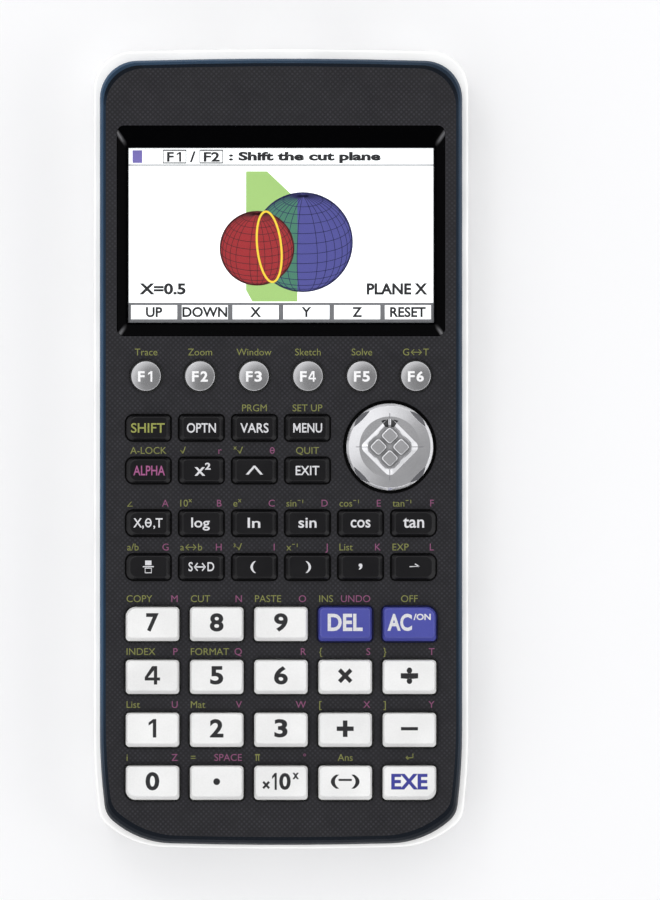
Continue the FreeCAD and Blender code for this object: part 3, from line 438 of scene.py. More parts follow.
def search_tree(mesh):
    points = [vertex.co.copy() for vertex in mesh.vertices]
    return BVHTree.FromPolygons(points, [tuple(face.vertices) for face in mesh.polygons])


class Surface:
    """The upper surface of a CAD node, for draping print over it."""

    def __init__(self, node):
        self.tree = search_tree(NODES[node].data)

    def level(self, x, y):
        """The height of the surface above (x, y), in metres, or None where there is nothing."""
        hit = self.tree.ray_cast(Vector((x, y, 1.0)), -UP)[0]
        return None if hit is None else hit.z


def add_object(name, data):
    made = bpy.data.objects.new(name, data)
    bpy.context.scene.collection.objects.link(made)
    return made


def add_mesh(name, bm, material):
    mesh = bpy.data.meshes.new(name)
    bm.to_mesh(mesh)
    bm.free()
    mesh.materials.append(material)
    return add_object(name, mesh)


def add_piece(name, bm, material, body=ROOT):
    """A piece of the model that moves with a body."""
    bmesh.ops.recalc_face_normals(bm, faces=bm.faces)
    piece = add_mesh(name, bm, material)
    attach(piece, body)
    return piece


def thicken(bm, depth):
    """Turns flat faces into a closed sheet by raising a copy of them."""
    made = bmesh.ops.extrude_face_region(bm, geom=bm.faces[:], use_keep_orig=True)["geom"]
    raised = [item for item in made if isinstance(item, bmesh.types.BMVert)]
    bmesh.ops.translate(bm, vec=UP * depth, verts=raised)


def new_points(bm, points, level):
    """New vertices at (x, y) points in millimetres and a level in metres."""
    return [bm.verts.new((x * MM, y * MM, level)) for x, y in points]


def add_polygon(bm, points, level):
    bm.faces.new(new_points(bm, points, level))


def add_ribbon(bm, points, width, level, closed=False):
    """A flat line of one width along (x, y) points in millimetres, at a level in metres."""
    path = [Vector(point) for point in points]
    count = len(path)
    rails = []
    for index, point in enumerate(path):
        before = path[index - 1] if index or closed else point
        after = path[(index + 1) % count] if index < count - 1 or closed else point
        along = (after - before).normalized()
        across = Vector((-along.y, along.x)) * width / 2
        rails.append(new_points(bm, (point - across, point + across), level))
    last = count if closed else count - 1
    for index in range(last):
        (left, right), (next_left, next_right) = rails[index], rails[(index + 1) % count]
        bm.faces.new((left, next_left, next_right, right))


def letter_outlines(text, bold):
    """A line of text as flat faces in the font's own units, thickened by bold unless that breaks a letter."""
    curve = bpy.data.curves.new("text", "FONT")
    curve.body = text
    curve.offset = 0.0 if NOTCHED & set(text) else bold
    curve.resolution_u = 4
    holder = add_object("text", curve)
    mesh = bpy.data.meshes.new_from_object(holder)
    bpy.data.objects.remove(holder)
    points = [(vertex.co.x, vertex.co.y) for vertex in mesh.vertices]
    faces = [tuple(face.vertices) for face in mesh.polygons]
    bpy.data.meshes.remove(mesh)
    return points, faces


def fitted_text(text, width, height, x, y, bold):
    """Text stretched to fill a box of the given width and height about (x, y), in millimetres."""
    if text in DRAWN_SIGNS or text == "θ":
        return drawn_sign(text, width, height, x, y)
    points, faces = letter_outlines(text, bold)
    across, along = [point[0] for point in points], [point[1] for point in points]
    middle_x, middle_y = (min(across) + max(across)) / 2, (min(along) + max(along)) / 2
    scale_x, scale_y = width / (max(across) - min(across)), height / (max(along) - min(along))
    return [(x + (px - middle_x) * scale_x, y + (py - middle_y) * scale_y) for px, py in points], faces


def line_of_text(text, height, x, y, align="CENTER", bold=0.0):
    """Text in its own proportions: capitals of one height, centred on y, and aligned to x."""
    if text in ("θ", "π"):
        side = {"LEFT": 0.5, "CENTER": 0.0, "RIGHT": -0.5}[align]
        return drawn_sign(text, SIGN_WIDTH, height, x + side * SIGN_WIDTH, y)
    points, faces = letter_outlines(text, bold)
    scale = height / CAP_HEIGHT
    across = [point[0] * scale for point in points]
    held = {"LEFT": min(across), "CENTER": (min(across) + max(across)) / 2, "RIGHT": max(across)}[align]
    return [(x + px - held, y + py * scale - height / 2) for px, (_, py) in zip(across, points)], faces


# Signs that the font draws badly, each as outlines in a square with sides of 1 about its middle
DRAWN_SIGNS = {
    "1": [[(0.5, -0.5), (0.5, 0.5), (0.1, 0.5), (-0.5, 0.31), (-0.5, 0.15), (0.06, 0.3), (0.06, -0.5)]],
    "4": [
        [
            (-0.5, -0.28), (0.1, -0.28), (0.1, -0.12), (-0.3, -0.12), (0.1, 0.28), (0.1, 0.5), (-0.02, 0.5),
            (-0.5, -0.1),
        ],
        [(0.1, -0.5), (0.31, -0.5), (0.31, 0.5), (0.1, 0.5)],
        [(0.31, -0.28), (0.5, -0.28), (0.5, -0.12), (0.31, -0.12)],
    ],
    "M": [[
        (-0.5, -0.5), (-0.31, -0.5), (-0.31, 0.15), (-0.08, -0.3), (0.08, -0.3), (0.31, 0.15), (0.31, -0.5),
        (0.5, -0.5), (0.5, 0.5), (0.3, 0.5), (0.0, -0.05), (-0.3, 0.5), (-0.5, 0.5),
    ]],
    "π": [
        [(-0.5, 0.3), (0.5, 0.3), (0.5, 0.5), (-0.5, 0.5)],
        [(-0.34, -0.5), (-0.14, -0.5), (-0.14, 0.3), (-0.34, 0.3)],
        [(0.14, -0.5), (0.34, -0.5), (0.34, 0.3), (0.14, 0.3)],
    ],
}
SIGN_WIDTH = 1.15  # of a drawn sign within a line of text, in millimetres
THETA_STROKE = 0.2  # of its width
THETA_POINTS = 24


def drawn_sign(sign, width, height, x, y):
    """One of the drawn signs, or a Greek theta: an upright ring with a bar across it."""
    points, faces = [], []
    if sign == "θ":
        count, stroke = THETA_POINTS, width * THETA_STROKE
        outer = ring_points(x, y, width / 2, height / 2, count=count)
        inner = ring_points(x, y, width / 2 - stroke, height / 2 - stroke, count=count)
        points = outer + inner
        for step in range(count):
            following = (step + 1) % count
            faces.append((step, following, count + following, count + step))
        outlines = [rectangle(x - width / 2 + stroke, x + width / 2 - stroke, y - stroke / 2, y + stroke / 2)]
    else:
        unit = DRAWN_SIGNS[sign]
        outlines = [[(x + px * width, y + py * height) for px, py in outline] for outline in unit]
    for outline in outlines:
        faces.append(tuple(range(len(points), len(points) + len(outline))))
        points = points + outline
    return points, faces


def add_shape(bm, shape, level):
    """The flat faces of a text or sign, as its (x, y) points in millimetres and the faces between them."""
    points, faces = shape
    made = new_points(bm, points, level)
    for face in faces:
        corners = [made[index] for index in face]
        if len(set(corners)) == len(corners):
            bm.faces.new(corners)


def finish_flat(bm, depth=INK, longest=None):
    """Welds flat faces, splits edges over a length where print must follow a curve, and thickens them."""
    bmesh.ops.remove_doubles(bm, verts=bm.verts, dist=1e-7)
    for _ in range(SPLIT_ROUNDS if longest else 0):
        bmesh.ops.triangulate(bm, faces=bm.faces[:])
        long_edges = [edge for edge in bm.edges if edge.calc_length() > longest]
        bmesh.ops.subdivide_edges(bm, edges=long_edges, cuts=1)
    bmesh.ops.triangulate(bm, faces=bm.faces[:])
    thicken(bm, depth)


def drape(bm, surface):
    """Moves print onto the surface beneath it, keeping each point's own height in the print."""
    for vert in bm.verts:
        level = surface.level(vert.co.x, vert.co.y)
        if level is not None:
            vert.co.z += level + LIFT


def printed(name, shapes, material, body, surface, longest=None):
    """One piece of print: text shapes, on the surface of a CAD node, moving with a body."""
    bm = bmesh.new()
    for shape in shapes:
        add_shape(bm, shape, 0.0)
    finish_flat(bm, longest=longest)
    drape(bm, surface)
    add_piece(name, bm, material, body)


def rectangle(left, right, bottom, top):
    return [(left, bottom), (right, bottom), (right, top), (left, top)]


def ring_points(x, y, radius_x, radius_y, tilt=0.0, count=64):
    """Points around an ellipse, turned by tilt about its centre (x, y)."""
    points = []
    for step in range(count):
        turn = math.tau * step / count
        across, along = radius_x * math.cos(turn), radius_y * math.sin(turn)
        points.append((
            x + across * math.cos(tilt) - along * math.sin(tilt),
            y + across * math.sin(tilt) + along * math.cos(tilt),
        ))
    return points


# Materials of the CAD nodes

LEVEL_FACE = 0.97  # a face whose normal has more than this much z counts as level


def outer_edge_faces(mesh):
    """The faces of the front case's rounded edge: sloping, and open to the outside."""
    tree = search_tree(mesh)
    found = []
    for face in mesh.polygons:
        flat = Vector((face.normal.x, face.normal.y, 0))
        if abs(face.normal.z) > LEVEL_FACE or flat.length < 0.2:
            continue
        start = face.center + face.normal * 0.02 * MM
        if tree.ray_cast(start, flat.normalized())[0] is None:
            found.append(face.index)
    return found


def faces_off_the_laminate(mesh):
    """The faces of everything soldered to the board: those outside its plate, its two largest levels."""
    areas = {}
    for face in mesh.polygons:
        if abs(face.normal.z) > 0.99:
            level = round(face.center.z / MM, 2)
            areas[level] = areas.get(level, 0.0) + face.area
    low, high = sorted(sorted(areas, key=areas.get)[-2:])
    return [face.index for face in mesh.polygons if not low - 0.05 < face.center.z / MM < high + 0.05]


def disc_flats(mesh):
    """The faces of the four flats on the cursor disc's edge, which lean out along its diagonals."""
    found = []
    for face in mesh.polygons:
        away = math.hypot(face.center.x / MM - DISC.x, face.center.y / MM - DISC.y)
        leaning = 0.05 < face.normal.z < LEVEL_FACE
        diagonal = abs(abs(face.normal.x) - abs(face.normal.y)) < 0.02
        if leaning and diagonal and away > DISC_FLATS:
            found.append(face.index)
    return found


def shade_of(slot, factor):
    """A slot's recorded colour, scaled."""
    return tuple(min(0.98, channel * factor) for channel in SLOT_COLOR[slot])


def paint_faces(mesh, material, faces):
    """Adds a material to a mesh and gives it to some of the faces."""
    mesh.materials.append(material)
    for index in faces:
        mesh.polygons[index].material_index = len(mesh.materials) - 1


def paint_cad():
    """Gives each CAD node the material of its slot, and returns the materials by slot."""
    made = {
        # The white shell gets painted light: a faint emission where it faces up.
        "shell_white": plastic(
            "mat_shell_white", shade_of("shell_white", 0.98), roughness=0.45, grain=0.45, depth=0.006,
            worn=1.06, painted_top_light=0.24,
        ),
        # Painted shade beside gaps: on the face here, and likewise on the silver keys, the white keys and the
        # disc.
        "face_dark": plastic(
            "mat_face_dark", FACE_COLOR, roughness=0.46, grain=0.3, depth=0.006, wear=0.12,
            weave=(0.85, 1.0, 3.2), bevel=0.05, worn=1.6, gleam=0.34, gap_shade_reach=1.6,
        ),
        "window": window_glass(
            "mat_window", SCREEN_HALF + CLEAR_MARGIN, SCREEN_LOW - CLEAR_MARGIN, SCREEN_HIGH + CLEAR_MARGIN
        ),
        "display": metal("mat_display_frame", (0.35, 0.36, 0.38), 0.35, (1, 12, 1)),
        "key_silver": plastic(
            "mat_key_silver", (0.48, 0.48, 0.49), roughness=0.22, grain=0.12, depth=0.0025, wear=0.3,
            metallic=0.8, coat=0.1, worn=0.5, gap_shade_reach=0.6,
        ),
        "key_black": plastic(
            "mat_key_black", SMALL_KEY_COLOR, roughness=0.33, grain=0.3, depth=0.002, wear=0.6, coat=0.1,
            worn=4.0, gleam=0.25,
        ),
        "key_white": plastic(
            "mat_key_white", SLOT_COLOR["key_white"], roughness=0.36, grain=0.4, depth=0.003, wear=0.2,
            coat=0.15, worn=1.0, gap_shade_reach=0.5,
        ),
        "key_blue": plastic(
            "mat_key_blue", shade_of("key_blue", 0.88), roughness=0.36, grain=0.4, depth=0.003, wear=0.35,
            coat=0.15, worn=1.8,
        ),
        "dome_rubber": rubber("mat_dome_rubber", SLOT_COLOR["dome_rubber"], 0.15),
        "foot_rubber": rubber("mat_foot_rubber", SLOT_COLOR["foot_rubber"]),
        "board_green": circuit_board("mat_board", SLOT_COLOR["board_green"]),
        "cell_jacket": cell_jacket("mat_cell", SLOT_COLOR["cell_jacket"]),
        "spring_metal": metal("mat_spring", SLOT_COLOR["spring_metal"], 0.22),
        "screw_steel": metal("mat_screw", SLOT_COLOR["screw_steel"], 0.34, (14, 1, 1)),
        "reset_plastic": plastic("mat_reset", SLOT_COLOR["reset_plastic"], roughness=0.5),
        "pivot_plastic": plastic("mat_pivot", SLOT_COLOR["pivot_plastic"], roughness=0.4),
    }
    for name, node in NODES.items():
        node.data.materials.clear()
        node.data.materials.append(made[SLOT_OF[name]])
    case, disc, board = (NODES[name].data for name in ("front_case", "cursor_disc", "main_board"))
    disc.materials[0] = plastic(
        "mat_disc_silver", (0.80, 0.80, 0.82), roughness=0.17, grain=0.12, depth=0.002, wear=0.4,
        metallic=0.8, coat=0.2, worn=1.3, gap_shade_reach=0.9,
    )
    paint_faces(case, rim_lacquer("mat_edge_blue"), outer_edge_faces(case))
    # Painted shade: the faces of the keys and the disc that lie deep below the face are near-black, so the
    # gaps round them read as shadow.
    gap_shade_material = plastic("mat_painted_gap_shade", (0.012, 0.012, 0.013), roughness=0.55, grain=0.3, wear=0.1, gleam=0.2)
    for name in KEY_NODES + ["cursor_disc"]:
        mesh = NODES[name].data
        gap_shaded_faces = [face.index for face in mesh.polygons if face.center.z / MM < FACE_LEVEL - GAP_SHADE_DEPTH]
        paint_faces(mesh, gap_shade_material, gap_shaded_faces)
    # Painted shade: the four flats that lean out on the disc's edge are dark grey instead of silver.
    disc_flat = plastic(
        "mat_disc_flat_painted_shade", (0.10, 0.10, 0.11), roughness=0.3, grain=0.2, depth=0.002, wear=0.3, metallic=0.3,
        worn=1.3,
    )
    paint_faces(disc, disc_flat, disc_flats(disc))
    chip = plastic("mat_chip", (0.022, 0.022, 0.024), 0.5, grain=0.3, depth=0.006, wear=0.2, worn=2.0)
    paint_faces(board, chip, faces_off_the_laminate(board))
    return made


# Legends: texts with the width and height of their outline and their centre from the key's, in millimetres

DIGIT_WIDTHS = [3.25, 1.8, 3.2, 3.1, 3.6, 3.1, 3.25, 2.95, 3.25, 3.25]
LEGENDS = {
    "point": [("•", 1.6, 1.6, 0, 0.3)],
    "exponent": [
        ("×", 1.75, 1.9, -3.5, -0.5), ("1", 1.1, 4.0, -1.55, 0.35), ("0", 2.7, 4.0, 0.95, 0.35),
        ("x", 1.5, 1.5, 3.5, 1.65),
    ],
    "negative": [("(−)", 6.8, 3.3, 0, 0.3)],
    "multiply": [("×", 3.4, 3.5, 0, 0.3)],
    "divide": [("÷", 4.1, 3.9, 0, 0.3)],
    "plus": [("+", 4.0, 3.9, 0, 0.3)],
    "minus": [("−", 4.0, 0.75, 0, 0.3)],
    "delete": [("DEL", 8.3, 4.1, 0, 0.4)],
    "all_clear": [("AC", 5.8, 4.1, -2.3, 0.4), ("/ON", 4.1, 1.5, 3.0, 1.7)],
    "execute": [("EXE", 8.6, 3.7, 0, 0.3)],
    "shift": [("SHIFT", 8.0, 2.3, -0.1, 0)],
    "alpha": [("ALPHA", 7.5, 2.3, 0.2, 0)],
    "options": [("OPTN", 6.9, 2.3, 0, 0)],
    "variables": [("VARS", 6.7, 2.3, 0, 0)],
    "menu": [("M", 1.75, 2.2, -2.5, 0), ("ENU", 4.75, 2.25, 1.1, 0)],
    "square": [("x²", 3.8, 3.1, 0.3, 0.3)],
    "power": [("∧", 4.1, 2.1, 0, 0.1)],
    "exit": [("EXIT", 5.6, 2.2, 0, 0)],
    "variable": [("X,", 2.5, 2.6, -2.3, -0.1), ("θ", 1.6, 2.2, 0, 0.1), (",T", 2.2, 2.6, 2.3, -0.1)],
    "log": [("log", 4.4, 3.1, -0.2, -0.2)],
    "ln": [("ln", 3.0, 2.4, -0.1, 0.1)],
    "sin": [("sin", 4.3, 2.4, 0, 0.1)],
    "cos": [("cos", 4.7, 1.9, 0, -0.1)],
    "tan": [("tan", 5.0, 2.4, 0, 0.1)],
    "convert": [("S↔D", 6.1, 2.2, 0, 0.1)],
    "open_bracket": [("(", 1.3, 2.8, -0.3, 0)],
    "close_bracket": [(")", 1.3, 2.8, 0.2, 0)],
    "comma": [(",", 0.9, 1.5, 0, 0.1)],
    "store": [("→", 2.5, 1.5, 0.3, 0.1)],
}
for digit, digit_width in enumerate(DIGIT_WIDTHS):
    LEGENDS[str(digit)] = [(str(digit), digit_width, 4.35, 0, 0.4)]
for place in range(1, 7):
    figure = (str(place), 1.0 if place == 1 else 1.75, 2.5, 1.0, -0.1)
    LEGENDS[f"f{place}"] = [("F", 1.6, 2.5, -1.1, -0.1), figure]
# The colours of the legends that differ from their kind of key's
LEGEND_COLORS = {
    "shift": KEY_YELLOW, "alpha": KEY_PINK, "execute": KEY_BLUE, "delete": KEY_WHITE, "all_clear": KEY_WHITE,
}

# Printed on the face above the keys: yellow at their left or middle, and pink at their right
YELLOW_PRINT = {
    "f1": "Trace", "f2": "Zoom", "f3": "Window", "f4": "Sketch", "f5": "Solve", "f6": "G↔T",
    "variables": "PRGM", "menu": "SET UP", "alpha": "A-LOCK", "square": "√", "power": "ˣ√", "exit": "QUIT",
    "variable": "∠", "log": "10ˣ", "ln": "eˣ", "sin": "sin⁻¹", "cos": "cos⁻¹", "tan": "tan⁻¹",
    "fraction": "a/b", "convert": "a↔b", "open_bracket": "³√", "close_bracket": "x⁻¹", "comma": "List",
    "store": "EXP", "7": "COPY", "8": "CUT", "9": "PASTE", "delete": "INS", "all_clear": "OFF", "4": "INDEX",
    "5": "FORMAT", "multiply": "{", "divide": "}", "1": "List", "2": "Mat", "plus": "[", "minus": "]",
    "0": "i", "point": "=", "exponent": "π", "negative": "Ans", "execute": "↵",
}
LETTERED_KEYS = (
    "variable log ln sin cos tan fraction convert open_bracket close_bracket comma store "
    "7 8 9 4 5 6 multiply divide 1 2 3 plus minus 0"
).split()
PINK_PRINT = {"square": "r", "power": "θ", "delete": "UNDO", "point": "SPACE", "exponent": "°"}
PINK_PRINT.update(zip(LETTERED_KEYS, string.ascii_uppercase))
ROUND_KEYS = {f"key_f{place}" for place in range(1, 7)}
CENTRED = ROUND_KEYS | {
    f"key_{name}" for name in ("all_clear", "negative", "execute", "variables", "menu", "alpha", "exit")
}
SMALL_KEY_LIMIT = 8.0  # large keys are longer than this in y, in millimetres
# In millimetres: the print's height, its level above a key's centre, and its inset from the ends of a key
PRINT_HEIGHT = 1.6
ABOVE_ROUND, ABOVE_SMALL, ABOVE_LARGE = 5.7, 4.75, 6.0
INSET_LEFT, INSET_RIGHT = 1.0, 1.2
BOLD_SMALL, BOLD_LARGE = 0.012, 0.03  # how much letters are thickened, in the font's own units


def is_small(key):
    return NODES[key].dimensions.y < SMALL_KEY_LIMIT * MM and key not in ROUND_KEYS


def second_function(key, text, side):
    """Print on the face above a key, at one side of it or, for the keys in CENTRED, its middle."""
    low, high = box_mm(key)
    middle = (low + high) / 2
    above = ABOVE_ROUND if key in ROUND_KEYS else ABOVE_SMALL if is_small(key) else ABOVE_LARGE
    if side == "RIGHT":
        return line_of_text(text, PRINT_HEIGHT, high.x - INSET_RIGHT, middle.y + above, side)
    if key in CENTRED:
        return line_of_text(text, PRINT_HEIGHT, middle.x, middle.y + above)
    return line_of_text(text, PRINT_HEIGHT, low.x + INSET_LEFT, middle.y + above, side)


def key_legends():
    """One piece of print for each key, and the print on the face joined by colour."""
    colors = {"yellow": KEY_YELLOW, "pink": KEY_PINK, "white": KEY_WHITE, "dark": KEY_DARK, "blue": KEY_BLUE}
    inks = {color: ink(f"mat_ink_{name}", color) for name, color in colors.items()}
    inks[KEY_SILVER] = ink("mat_ink_silver", KEY_SILVER, 0.6)
    for key_name, lines in LEGENDS.items():
        key = f"key_{key_name}"
        middle = centre_mm(key)
        usual = KEY_SILVER if key in ROUND_KEYS else KEY_WHITE if is_small(key) else KEY_DARK
        color = LEGEND_COLORS.get(key_name, usual)
        bold = BOLD_SMALL if is_small(key) else BOLD_LARGE
        shapes = [
            fitted_text(text, width, height, middle.x + x, middle.y + y, bold)
            for text, width, height, x, y in lines
        ]
        curved = 0.5 * MM if key in ROUND_KEYS else None
        printed(f"legend_{key}", shapes, inks[color], key, Surface(key), curved)
    fraction_legend(inks[KEY_WHITE])
    yellow = [second_function("key_" + name, text, "LEFT") for name, text in YELLOW_PRINT.items()]
    pink = [second_function("key_" + name, text, "RIGHT") for name, text in PINK_PRINT.items()]
    face = Surface("front_case")
    printed("second_function_print", yellow, ink("mat_print_yellow", FACE_YELLOW), ROOT, face)
    printed("letter_print", pink, ink("mat_print_pink", FACE_PINK), ROOT, face)


def fraction_legend(material):
    """A filled box over a hollow box, with a bar between them."""
    middle = centre_mm("key_fraction")
    bm = bmesh.new()
    half, gap, height, bar = 0.75, 0.35, 1.1, 1.3
    x, y = middle.x, middle.y + 0.1
    add_polygon(bm, rectangle(x - half, x + half, y + gap, y + gap + height), 0.0)
    add_ribbon(bm, [(x - bar, y), (x + bar, y)], 0.26, 0.0)
    add_ribbon(bm, rectangle(x - half, x + half, y - gap - height, y - gap), 0.24, 0.0, closed=True)
    finish_flat(bm)
    drape(bm, Surface("key_fraction"))
    add_piece("legend_key_fraction", bm, material, "key_fraction")


def disc_mark(name, material, draw):
    """A mark on the cursor disc, from a function that draws it flat."""
    bm = bmesh.new()
    draw(bm)
    finish_flat(bm, longest=0.3 * MM)
    drape(bm, Surface("cursor_disc"))
    add_piece(name, bm, material, "cursor_disc")


def cursor_marks():
    """Fine ticks on the disc's four arms, with a small arrow pair at the top one: a real mark, made
    near-black as a painted dark reflection.
    """

    def ticks(bm):
        for quarter in range(4):
            turn = math.pi / 2 * quarter
            steps = [5.3 + 0.3 * step for step in range(10)]
            line = [(DISC.x + step * math.cos(turn), DISC.y + step * math.sin(turn)) for step in steps]
            add_ribbon(bm, line, 0.16, 0.0)

    def arrows(bm):
        for side in (-1, 1):
            x, y = DISC.x + side * 0.3, DISC.y + 5.75
            arrow = [(x, y - 1.05), (x, y + 0.85), (x + side * 1.7, y + 0.45), (x + side * 0.75, y - 1.05)]
            add_polygon(bm, arrow if side > 0 else arrow[::-1], 0.0)

    disc_mark("cursor_ticks", ink("mat_ink_tick", (0.22, 0.22, 0.235)), ticks)
    # Painted reflection: only the top arm's arrows are drawn, in near-black.
    disc_mark("cursor_arrows", ink("mat_arrow_ink_and_painted_reflection", (0.012, 0.012, 0.014), 0.35), arrows)


# The display's picture

# Linear colours of the picture and how brightly each shines
TONES = {
    "white": ((0.93, 0.94, 0.945), 0.80),
    "dark": ((0.012, 0.012, 0.015), 0.1),
    "grey": ((0.16, 0.16, 0.17), 0.35),
    "red": ((0.34, 0.015, 0.020), 0.35),
    "red_line": ((0.09, 0.006, 0.010), 0.2),
    "blue": ((0.070, 0.070, 0.29), 0.35),
    "blue_line": ((0.014, 0.014, 0.10), 0.2),
    "teal": ((0.055, 0.20, 0.13), 0.35),
    "green": ((0.34, 0.54, 0.17), 0.45),
    "yellow": ((0.80, 0.56, 0.04), 0.5),
    "violet": ((0.17, 0.14, 0.42), 0.4),
}
# The picture's layout, in millimetres
TITLE_LINE = SCREEN_HIGH - 4.0
STRIP_TOP = SCREEN_LOW + 4.6
TAB_WIDTH = SCREEN_HALF / 3
RED_BALL = (-5.7, SCREEN_LOW + 17.55, 8.7)  # centre and radius
BLUE_BALL = (5.2, SCREEN_LOW + 19.0, 11.7)
PLANE_LEFT, PLANE_RIGHT = -8.3, 3.9
PLANE_LOW, PLANE_HIGH = SCREEN_LOW + 4.9, SCREEN_LOW + 35.8
# Words, with the width and height of their outline, their centre and how much they are thickened
TITLE_WORDS = [
    ("F", 1.6, 2.3, 9.9 - SCREEN_HALF, 1.95, 0.03),
    ("1", 1.1, 2.3, 11.9 - SCREEN_HALF, 1.95, 0.03),
    ("F2", 3.8, 2.3, 19.7 - SCREEN_HALF, 1.95, 0.03),
    ("/", 1.4, 2.6, 15.2 - SCREEN_HALF, 1.95, 0.02),
    (": Shift the cut plane", 36.0, 2.7, 41.8 - SCREEN_HALF, 1.8, 0.045),
]


def screen_layer(name, material, level, draw):
    """One thin layer of the picture, level steps above the display glass."""
    bm = bmesh.new()
    height = GLASS_TOP * MM + LAYER * (level + 0.5)
    draw(bm, height)
    finish_flat(bm, LAYER * 0.4)
    add_piece(name, bm, material, ROOT)


def globe_lines(centre, radius, turn, tilt, step):
    """Meridians and parallels on the near half of a ball, each as a run of (x, y) points."""
    lines = []

    def project(longitude, latitude):
        x = math.cos(latitude) * math.sin(longitude + turn)
        y = math.sin(latitude)
        z = math.cos(latitude) * math.cos(longitude + turn)
        return x, y * math.cos(tilt) - z * math.sin(tilt), y * math.sin(tilt) + z * math.cos(tilt)

    def keep_near(points):
        runs = [[]]
        for x, y, z in points:
            if z > 0:
                runs[-1].append((centre[0] + radius * x, centre[1] + radius * y))
            else:
                runs.append([])
        lines.extend(run for run in runs if len(run) > 1)

    fine = math.radians(6)
    for count in range(int(math.tau / step)):
        keep_near([project(count * step, -math.pi / 2 + fine * k) for k in range(31)])
    for count in range(1, int(math.pi / step)):
        keep_near([project(fine * k, -math.pi / 2 + count * step) for k in range(61)])
    return lines


def filled(points):
    return lambda bm, level: add_polygon(bm, points, level)


def disc_points(ball, count=64):
    x, y, radius = ball
    return ring_points(x, y, radius, radius, count=count)


def blue_behind_plane():
    """The outline of the part of the blue ball that the plane covers."""
    x, y, radius = BLUE_BALL
    edge = math.sqrt(radius**2 - (PLANE_RIGHT - x) ** 2)
    arc = [point for point in disc_points(BLUE_BALL, 180) if point[0] < PLANE_RIGHT]
    return [(PLANE_RIGHT, y + edge)] + arc + [(PLANE_RIGHT, y - edge)]


def ball_lines(ball, turn):
    """Draws a ball's outline, and its globe lines as they look from 20 degrees above."""

    def draw(bm, level):
        x, y, radius = ball
        for run in globe_lines((x, y), radius * 0.995, turn, math.radians(20), math.radians(12)):
            add_ribbon(bm, run, 0.15, level)
        add_ribbon(bm, disc_points(ball), 0.32, level, closed=True)

    return draw


def strip_and_title_line(bm, level):
    add_ribbon(bm, [(-SCREEN_HALF, TITLE_LINE), (SCREEN_HALF, TITLE_LINE)], 0.26, level)
    add_polygon(bm, rectangle(-SCREEN_HALF, SCREEN_HALF, SCREEN_LOW, STRIP_TOP), level)


def tabs(bm, level):
    for place in range(6):
        start = -SCREEN_HALF + place * TAB_WIDTH
        tab = rectangle(start + 0.55, start + TAB_WIDTH - 0.55, SCREEN_LOW + 0.7, STRIP_TOP - 0.55)
        add_polygon(bm, tab, level)


def screen_words(bm, level):
    middle = (SCREEN_LOW + STRIP_TOP) / 2 + 0.1
    for place, word in enumerate(["UP", "DOWN", "X", "Y", "Z", "RESET"]):
        x = -SCREEN_HALF + (place + 0.5) * TAB_WIDTH
        add_shape(bm, line_of_text(word, 2.2, x, middle, bold=0.03), level)
    for word, width, height, x, above, bold in TITLE_WORDS:
        add_shape(bm, fitted_text(word, width, height, x, TITLE_LINE + above, bold), level)
    for start in (8.2 - SCREEN_HALF, 16.9 - SCREEN_HALF):
        box = rectangle(start, start + 5.4, TITLE_LINE + 0.5, TITLE_LINE + 3.5)
        add_ribbon(bm, box, 0.3, level, closed=True)
    add_shape(bm, fitted_text("X=0.5", 11.0, 2.7, 8.0 - SCREEN_HALF, STRIP_TOP + 3.3, 0.035), level)
    add_shape(bm, fitted_text("PLANE X", 14.4, 2.7, SCREEN_HALF - 8.6, STRIP_TOP + 3.3, 0.035), level)


def screen_picture():
    """Two crossing balls cut by a plane, under a title line and over a row of function tabs."""
    tone = {name: lit(f"mat_screen_{name}", *values) for name, values in TONES.items()}
    plane = [
        (PLANE_LEFT, PLANE_HIGH),
        (PLANE_LEFT, PLANE_LOW + 2.7),
        (PLANE_LEFT + 1.5, PLANE_LOW),
        (PLANE_RIGHT, PLANE_LOW),
        (PLANE_RIGHT, PLANE_HIGH - 6.8),
        (PLANE_LEFT + 5.0, PLANE_HIGH),
    ]
    cut = ring_points(-2.8, SCREEN_LOW + 17.9, 2.85, 8.4, math.radians(6))
    mark = rectangle(0.9 - SCREEN_HALF, 3.2 - SCREEN_HALF, TITLE_LINE + 0.5, TITLE_LINE + 3.5)
    for name, color, level, draw in (
        ("ground", "white", 0, filled(rectangle(-SCREEN_HALF, SCREEN_HALF, SCREEN_LOW, SCREEN_HIGH))),
        ("plane", "green", 1, filled(plane)),
        ("blue_ball", "blue", 2, filled(disc_points(BLUE_BALL))),
        ("overlap", "teal", 3, filled(blue_behind_plane())),
        ("blue_lines", "blue_line", 4, ball_lines(BLUE_BALL, 0.3)),
        ("red_ball", "red", 5, filled(disc_points(RED_BALL))),
        ("red_lines", "red_line", 6, ball_lines(RED_BALL, -0.2)),
        ("cut_ring", "yellow", 7, lambda bm, z: add_ribbon(bm, cut, 0.5, z, closed=True)),
        ("strip", "grey", 2, strip_and_title_line),
        ("tabs", "white", 3, tabs),
        ("words", "dark", 5, screen_words),
        ("cell_mark", "violet", 3, filled(mark)),
    ):
        screen_layer(f"screen_{name}", tone[color], level, draw)


# Rubber domes, one piece each

DOME_RADII = 2.6, 1.65  # of a dome's foot and roof, in millimetres
WEB_CORNER = 3.0
DISC_REACH = 7.6  # from the disc's centre to the domes under it
KEPT_BY_KEY, KEPT_BY_DISC = 0.34, 0.7  # the share of its height that a dome keeps at a joint's limit


